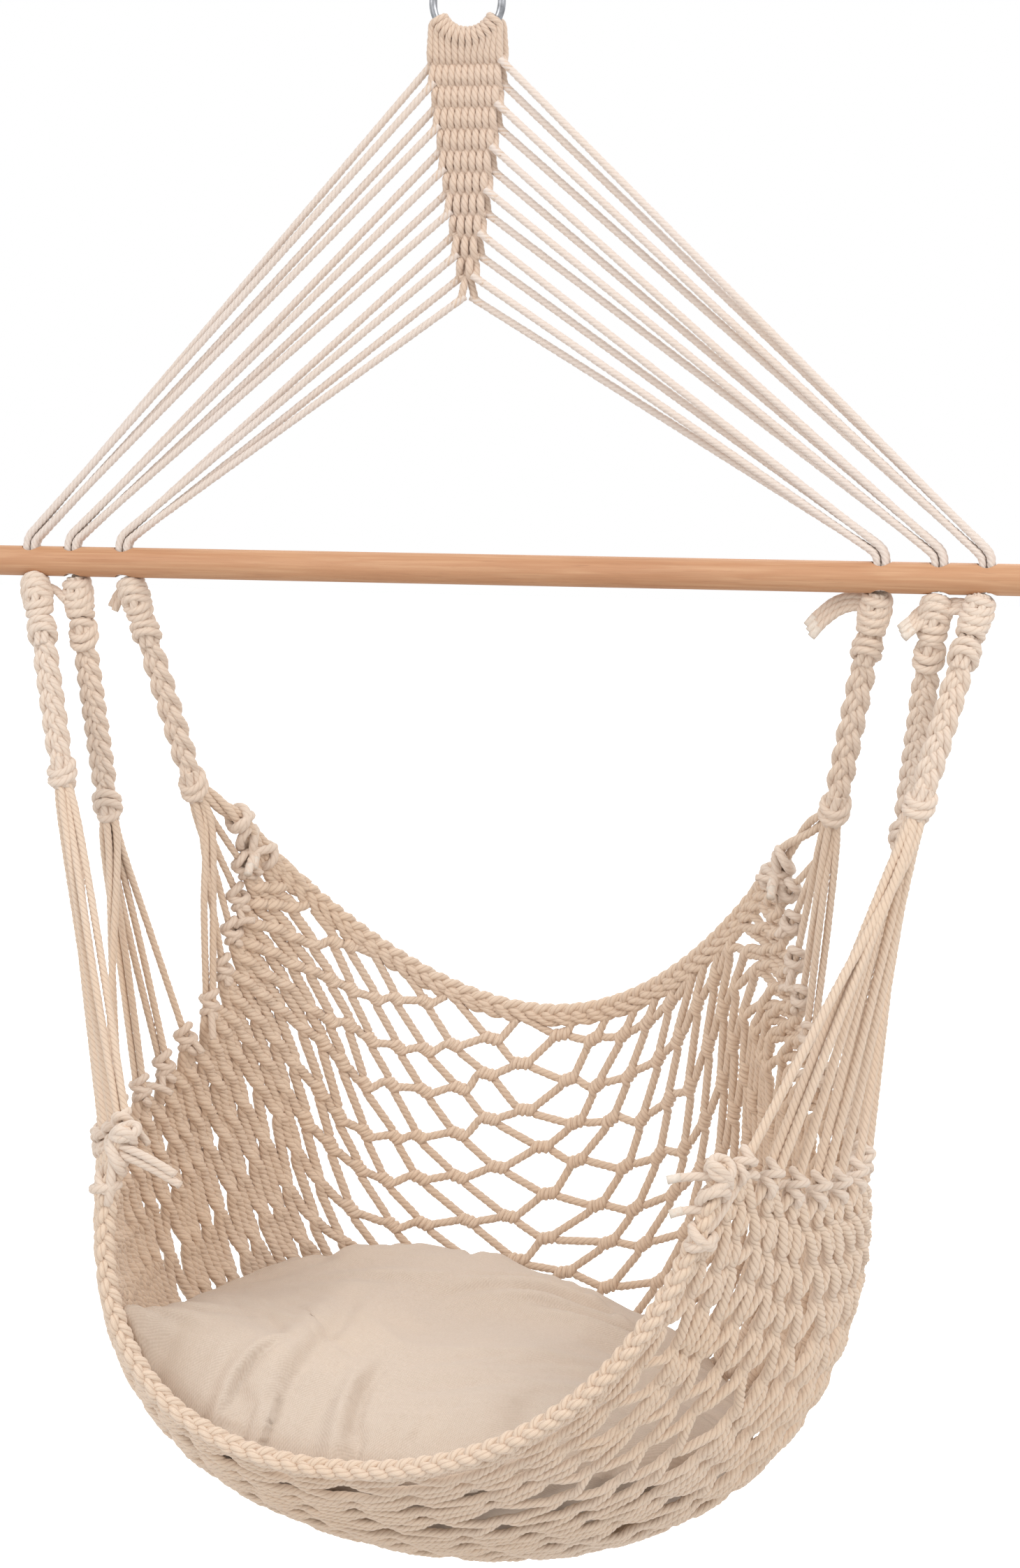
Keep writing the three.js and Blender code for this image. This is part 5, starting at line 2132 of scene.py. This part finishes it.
@dataclass
class Cushion:
    """The loose canvas cushion, swollen by a cloth simulation.

    Args:
        drape: The net's surface.
        finishes: The materials.
        front: Share v of its front edge.
        middle: Share v of its middle.
        back: Share v of its back edge.
        half: Half its width in u.
        aside: Its shift in u.
        crown: Thickness in the middle.
        seam: Thickness at the seam.
        corners: Easing of the four corners.
        tuck: How far the left side is drawn in.
        upright: Share of the middle's upward direction.
        base: Height over the net's middle surface.
        grid: Faces along a side at first.
        voxel: Size of the even mesh.
        rim: Share from which the seam is held.
        pressure: Pressure of the filling.
        frames: Frames of the simulation.
        cap: Largest move that is kept.
        ear: Length of the drawn-out corners.
    """

    drape: Drape
    finishes: Finishes
    front: float = 0.03
    middle: float = 0.3
    back: float = 0.68
    half: float = 0.62
    aside: float = -0.13
    crown: float = 0.150
    seam: float = 0.005
    corners: tuple[float, float, float, float] = (0.76, 0.85, 0.95, 0.95)
    tuck: float = 0.08
    upright: float = 0.65
    base: float = 0.0064
    grid: int = 40
    voxel: float = 0.0047
    rim: float = 0.97
    pressure: float = 4.0
    frames: int = 20
    cap: float = 0.022
    ear: float = 0.016

    def point(self, s: Array, t: Array, height: Array) -> Array:
        """A place of the cushion, as in the CAD source.

        Args:
            s: Share across, from -1 to 1.
            t: Share along, from -1 to 1.
            height: Height over the lower panel.

        Returns:
            The places, in the frame.
        """
        s, t = np.broadcast_arrays(np.asarray(s, float), np.asarray(t, float))
        reach = np.abs(np.where(t < 0, self.front, self.back) - self.middle)
        right, behind = smoothstep(s, -0.6, 0.6), smoothstep(t, -0.6, 0.6)
        fl, fr, bl, br = self.corners
        near, far = fl * (1 - right) + fr * right, bl * (1 - right) + br * right
        eased = near * (1 - behind) + far * behind
        half = self.half - self.tuck * smoothstep(t, -1, -0.2) * (s < 0)
        u = self.aside + half * s * np.sqrt(1 - eased * t * t / 2)
        v = self.middle + reach * t * np.sqrt(1 - eased * s * s / 2)
        _, _, face = self.drape.frame(u, v)
        _, _, up = self.drape.frame(self.aside, self.middle)
        towards = unit(face * (1 - self.upright) + up * self.upright)
        return self.drape.point(u, v) + face * self.base + towards * np.asarray(height)[..., None]

    def thickness(self, s: Array, t: Array) -> Array:
        """The thickness at a place, with the fold from front to back.

        Args:
            s: Share across.
            t: Share from front to back.

        Returns:
            The thickness in metres.
        """
        round_ = np.sqrt(np.maximum((1 - s * s) * (1 - t * t), 0))
        away = (s + 0.1 * t) / 0.17
        fold = 1 - 0.1 * np.exp(-away * away) * (1 - t) / 2
        return self.seam + (self.crown - self.seam) * round_ * fold

    def shell(self, inset: float) -> Object:
        """The cushion's closed skin on a fine grid.

        Args:
            inset: Distance of the skin inside the solid's.

        Returns:
            The object, in the scene.
        """
        n = self.grid
        k = np.sin((2 * np.arange(n + 1) / n - 1) * math.pi / 2)
        s, t = np.meshgrid(k * 0.985, k * 0.985, indexing="ij")
        thick = self.thickness(s, t)
        top = self.point(s, t, np.maximum(thick - inset, thick / 2 + 0.0002))
        low = self.point(s, t, np.minimum(np.full_like(thick, inset), thick / 2 - 0.0002))
        verts = np.concatenate([low.reshape(-1, 3), top.reshape(-1, 3)])
        m = n + 1

        def face(*places: tuple[int, int, int]) -> tuple[int, ...]:
            """The corner numbers of a face from its layers, columns and rows."""
            return tuple(layer * m * m + a * m + b for layer, a, b in places)

        faces = []
        for a in range(n):
            for b in range(n):
                faces.append(face((1, a, b), (1, a + 1, b), (1, a + 1, b + 1), (1, a, b + 1)))
                faces.append(face((0, a, b), (0, a, b + 1), (0, a + 1, b + 1), (0, a + 1, b)))
        for k in range(n):
            for a, b, c, d in ((k, 0, k + 1, 0), (k + 1, n, k, n), (0, k + 1, 0, k), (n, k, n, k + 1)):
                faces.append(face((0, a, b), (0, c, d), (1, c, d), (1, a, b)))
        mesh = bpy.data.meshes.new("cushion")
        mesh.from_pydata(verts.tolist(), [], faces)
        return in_scene(bpy.data.objects.new("canvas_cushion", mesh))

    def panel_places(self, piece: Object) -> tuple[Array, Array, Array]:
        """The vertices' places on the panels.

        Args:
            piece: The cushion's mesh.

        Returns:
            Shares s and t, and 1 on the upper panel or -1 on the lower.
        """
        fine = np.linspace(-1, 1, 361)
        s, t = (a.ravel() for a in np.meshgrid(fine, fine, indexing="ij"))
        thick = self.thickness(s, t)
        tree = KDTree(2 * len(s))
        panels = np.concatenate([self.point(s, t, thick), self.point(s, t, 0 * thick)])
        for k, place in enumerate(panels.tolist()):
            tree.insert(place, k)
        tree.balance()
        found = np.array([tree.find(v.co)[1] for v in piece.data.vertices])
        return s[found % len(s)], t[found % len(s)], np.where(found < len(s), 1.0, -1.0)

    def swell(self, piece: Object) -> None:
        """Runs the cloth simulation with the seam held, and keeps its result within the cap.

        Args:
            piece: The cushion's mesh.
        """
        scene = bpy.context.scene
        before = vertex_values(piece.data, "co")
        s, t, _ = self.panel_places(piece)
        rim = piece.vertex_groups.new(name="rim")
        rim.add(np.nonzero(np.maximum(np.abs(s), np.abs(t)) > self.rim)[0].tolist(), 1.0, "REPLACE")
        cloth = piece.modifiers.new("swell", "CLOTH")
        settings = cloth.settings
        settings.vertex_group_mass = "rim"
        settings.use_pressure = True
        settings.uniform_pressure_force = self.pressure
        settings.effector_weights.gravity = 0.0
        settings.quality = 6
        settings.tension_stiffness = settings.compression_stiffness = 12
        settings.bending_stiffness = 0.3
        for frame_number in range(1, self.frames + 1):
            scene.frame_set(frame_number)
        shape = piece.evaluated_get(bpy.context.evaluated_depsgraph_get())
        moved = vertex_values(shape.data, "co") - before
        piece.modifiers.remove(cloth)
        scene.frame_set(1)
        size = np.linalg.norm(moved, axis=1, keepdims=True)
        capped = before + moved * np.minimum(1, self.cap / np.maximum(size, 1e-9))
        log.info("cushion: cloth moved %.1f mm at most", float(size.max()) * 1000)
        piece.data.vertices.foreach_set("co", capped.ravel())
        piece.data.update()

    def even_out(self, piece: Object) -> None:
        """Gives the shell an even mesh that keeps each vertex's place on the panels.

        Args:
            piece: The cushion's mesh.
        """
        select(piece)
        remesh = piece.modifiers.new("even", "REMESH")
        remesh.mode = "VOXEL"
        remesh.voxel_size = self.voxel
        bpy.ops.object.modifier_apply(modifier=remesh.name)
        for name, values in zip(PANEL_NAMES, self.panel_places(piece)):
            made = piece.data.attributes.new(name, "FLOAT", "POINT")
            made.data.foreach_set("value", values.astype(np.float32))

    def crumple(self, piece: Object) -> None:
        """Adds the upper panel's folds, small wrinkles, the seam's ridge and the corners.

        Args:
            piece: The cushion's mesh.
        """
        mesh = piece.data
        count = len(mesh.vertices)
        s, t, up = np.empty((3, count), np.float32)
        for name, values in zip(PANEL_NAMES, (s, t, up)):
            mesh.attributes[name].data.foreach_get("value", values)
        co, normal = vertex_values(mesh, "co"), vertex_values(mesh, "normal")
        x, y = flat_panel(s, t)
        upper = smoothstep(up, -0.2, 0.6)
        sink = sum(crease.sink(x, y) for crease in CREASES) * upper
        edge = np.maximum(np.abs(s), np.abs(t))
        run = np.where(np.abs(s) > np.abs(t), y, x)
        gathers = 0.0007 * np.sin(run * 190 + 2.2 * np.sin(run * 61)) * smoothstep(edge, 0.72, 0.94)
        gathers = gathers * (1 - smoothstep(edge, 0.95, 1.0))
        slack = 0.0016 * np.sin(21 * x + 17 * y + 1.5 * np.sin(19 * y))
        slack = slack + 0.0005 * np.sin(61 * x - 48 * y)
        ridge = 0.0016 * np.exp(-(((edge - 1.0) / 0.02) ** 2))
        co = co + normal * (gathers + slack * upper + ridge - sink)[:, None]
        corner = smoothstep(np.abs(s), 0.72, 1.0) * smoothstep(np.abs(t), 0.72, 1.0)
        here = self.point(np.sign(s), np.sign(t), np.zeros(count))
        middle = self.point(0.6 * np.sign(s), 0.6 * np.sign(t), np.zeros(count))
        ear = self.ear * np.where((s < 0) & (t < 0), 1.5, 0.4) * corner
        co = co + unit(unit(here - middle) + vec(0, 0, 0.6) * (t < 0)[:, None]) * ear[:, None]
        mesh.vertices.foreach_set("co", co.ravel())
        mesh.update()
        for name in PANEL_NAMES:
            mesh.attributes.remove(mesh.attributes[name])

    def tidy(self, piece: Object) -> None:
        """Adds one subdivision, the folds, the panels' UVs and smooth shading.

        Args:
            piece: The cushion's mesh.
        """
        select(piece)
        smooth = piece.modifiers.new("finer", "SUBSURF")
        smooth.levels = 1
        bpy.ops.object.modifier_apply(modifier=smooth.name)
        self.crumple(piece)
        mesh = piece.data
        co = vertex_values(mesh, "co")
        right, behind, _ = self.drape.frame(self.aside, self.middle)
        loops = np.empty(len(mesh.loops), np.int32)
        mesh.loops.foreach_get("vertex_index", loops)
        uv = np.stack([co[loops] @ right, co[loops] @ behind], -1)
        layer = mesh.uv_layers.new(name="cloth")
        layer.data.foreach_set("uv", uv.astype(np.float32).ravel())
        mesh.polygons.foreach_set("use_smooth", np.ones(len(mesh.polygons), bool))

    def build(self) -> None:
        """Makes the cushion in place of the CAD cover and filling."""
        piece = self.shell(0.006)
        self.even_out(piece)
        self.swell(piece)
        self.tidy(piece)
        nodes = "cushion_cover", "cushion_filling"
        finish_piece(piece, self.finishes.canvas, Body.CUSHION, Slot.CANVAS, *nodes)


@dataclass
class Zip:
    """The zip in the cushion's back seam: its tape, its coil and its slider.

    Args:
        cushion: The cushion.
        finishes: The materials.
        half: Share of the seam to each side.
        height: Height of the tape.
        thickness: Thickness of the tape.
    """

    cushion: Cushion
    finishes: Finishes
    half: float = 0.6
    height: float = 0.010
    thickness: float = 0.0018

    def _strip(
        self, ropes: Ropes, middle: Array, high: Array, out: Array, size: tuple[float, float]
    ) -> None:
        """Adds a bar of eight corners along a line.

        Args:
            ropes: Where the cords go.
            middle: Places of its middle.
            high: Directions up.
            out: Directions outward.
            size: Its height and its thickness.
        """
        half = np.array([(-1, -0.7), (-0.8, -1), (0.8, -1), (1, -0.7)])
        corners = np.concatenate([half, -half])
        ring = middle[:, None] + corners[None, :, :1] * size[0] / 2 * high[:, None]
        ring = ring + corners[None, :, 1:] * size[1] / 2 * out[:, None]
        run = run_along(middle)
        ropes.skin(ring, run)

    def build(self) -> None:
        """Lays the zip along the seam."""
        ropes = Ropes(ZIP_COIL)
        s = np.linspace(-self.half, self.half, 160)
        t = np.ones_like(s)
        seam = self.cushion.point(s, t, self.cushion.thickness(s, t) / 2)
        inner = self.cushion.point(s, t - 0.04, self.cushion.thickness(s, t - 0.04) / 2)
        out = unit(seam - inner)
        along = unit(np.gradient(seam, axis=0))
        high = unit(np.cross(out, along))
        out = np.cross(along, high)
        self._strip(ropes, seam + out * 0.0012, high, out, (self.height, self.thickness))
        ropes.cord(seam + out * 0.0024, 1.0)
        slider, pull = slice(-9, -3), slice(-9, -8)
        self._strip(ropes, (seam + out * 0.0030)[slider], high[slider], out[slider], (0.0062, 0.0040))
        hanging = np.linspace(0, 0.016, 5)[:, None] * (0.9 * along - 0.4 * high)[pull]
        ways = (np.repeat(way[pull], 5, 0) for way in (high, out))
        self._strip(ropes, (seam + out * 0.0054)[pull] + hanging, *ways, (0.0040, 0.0009))
        piece = ropes.build("zip_closure")
        finish_piece(piece, self.finishes.zip, Body.CUSHION, Slot.ZIP, "cushion_zip")


def main() -> None:
    """Builds the scene."""
    logging.basicConfig(level=logging.INFO, format="%(message)s")
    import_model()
    Studio().build()
    finishes = Finishes()
    drape = Drape()
    Ring().build(finishes)
    WovenMat().build(finishes)
    FanCords().build(finishes)
    SpreaderBar().build(finishes)
    tips = TapedTips()
    for side in (-1, 1):
        for index in range(3):
            Leg(LegLine(side, index, drape), finishes, tips).build()
    Net(drape, finishes).build()
    Border(drape, finishes, 0.0, "front_border_rope", tips).build()
    Border(drape, finishes, 1.0, "back_border_rope", tips).build()
    tips.build(finishes)
    CornerRopes(drape, finishes).build()
    cushion = Cushion(drape, finishes)
    cushion.build()
    Zip(cushion, finishes).build()


if __name__ == "__main__":
    main()
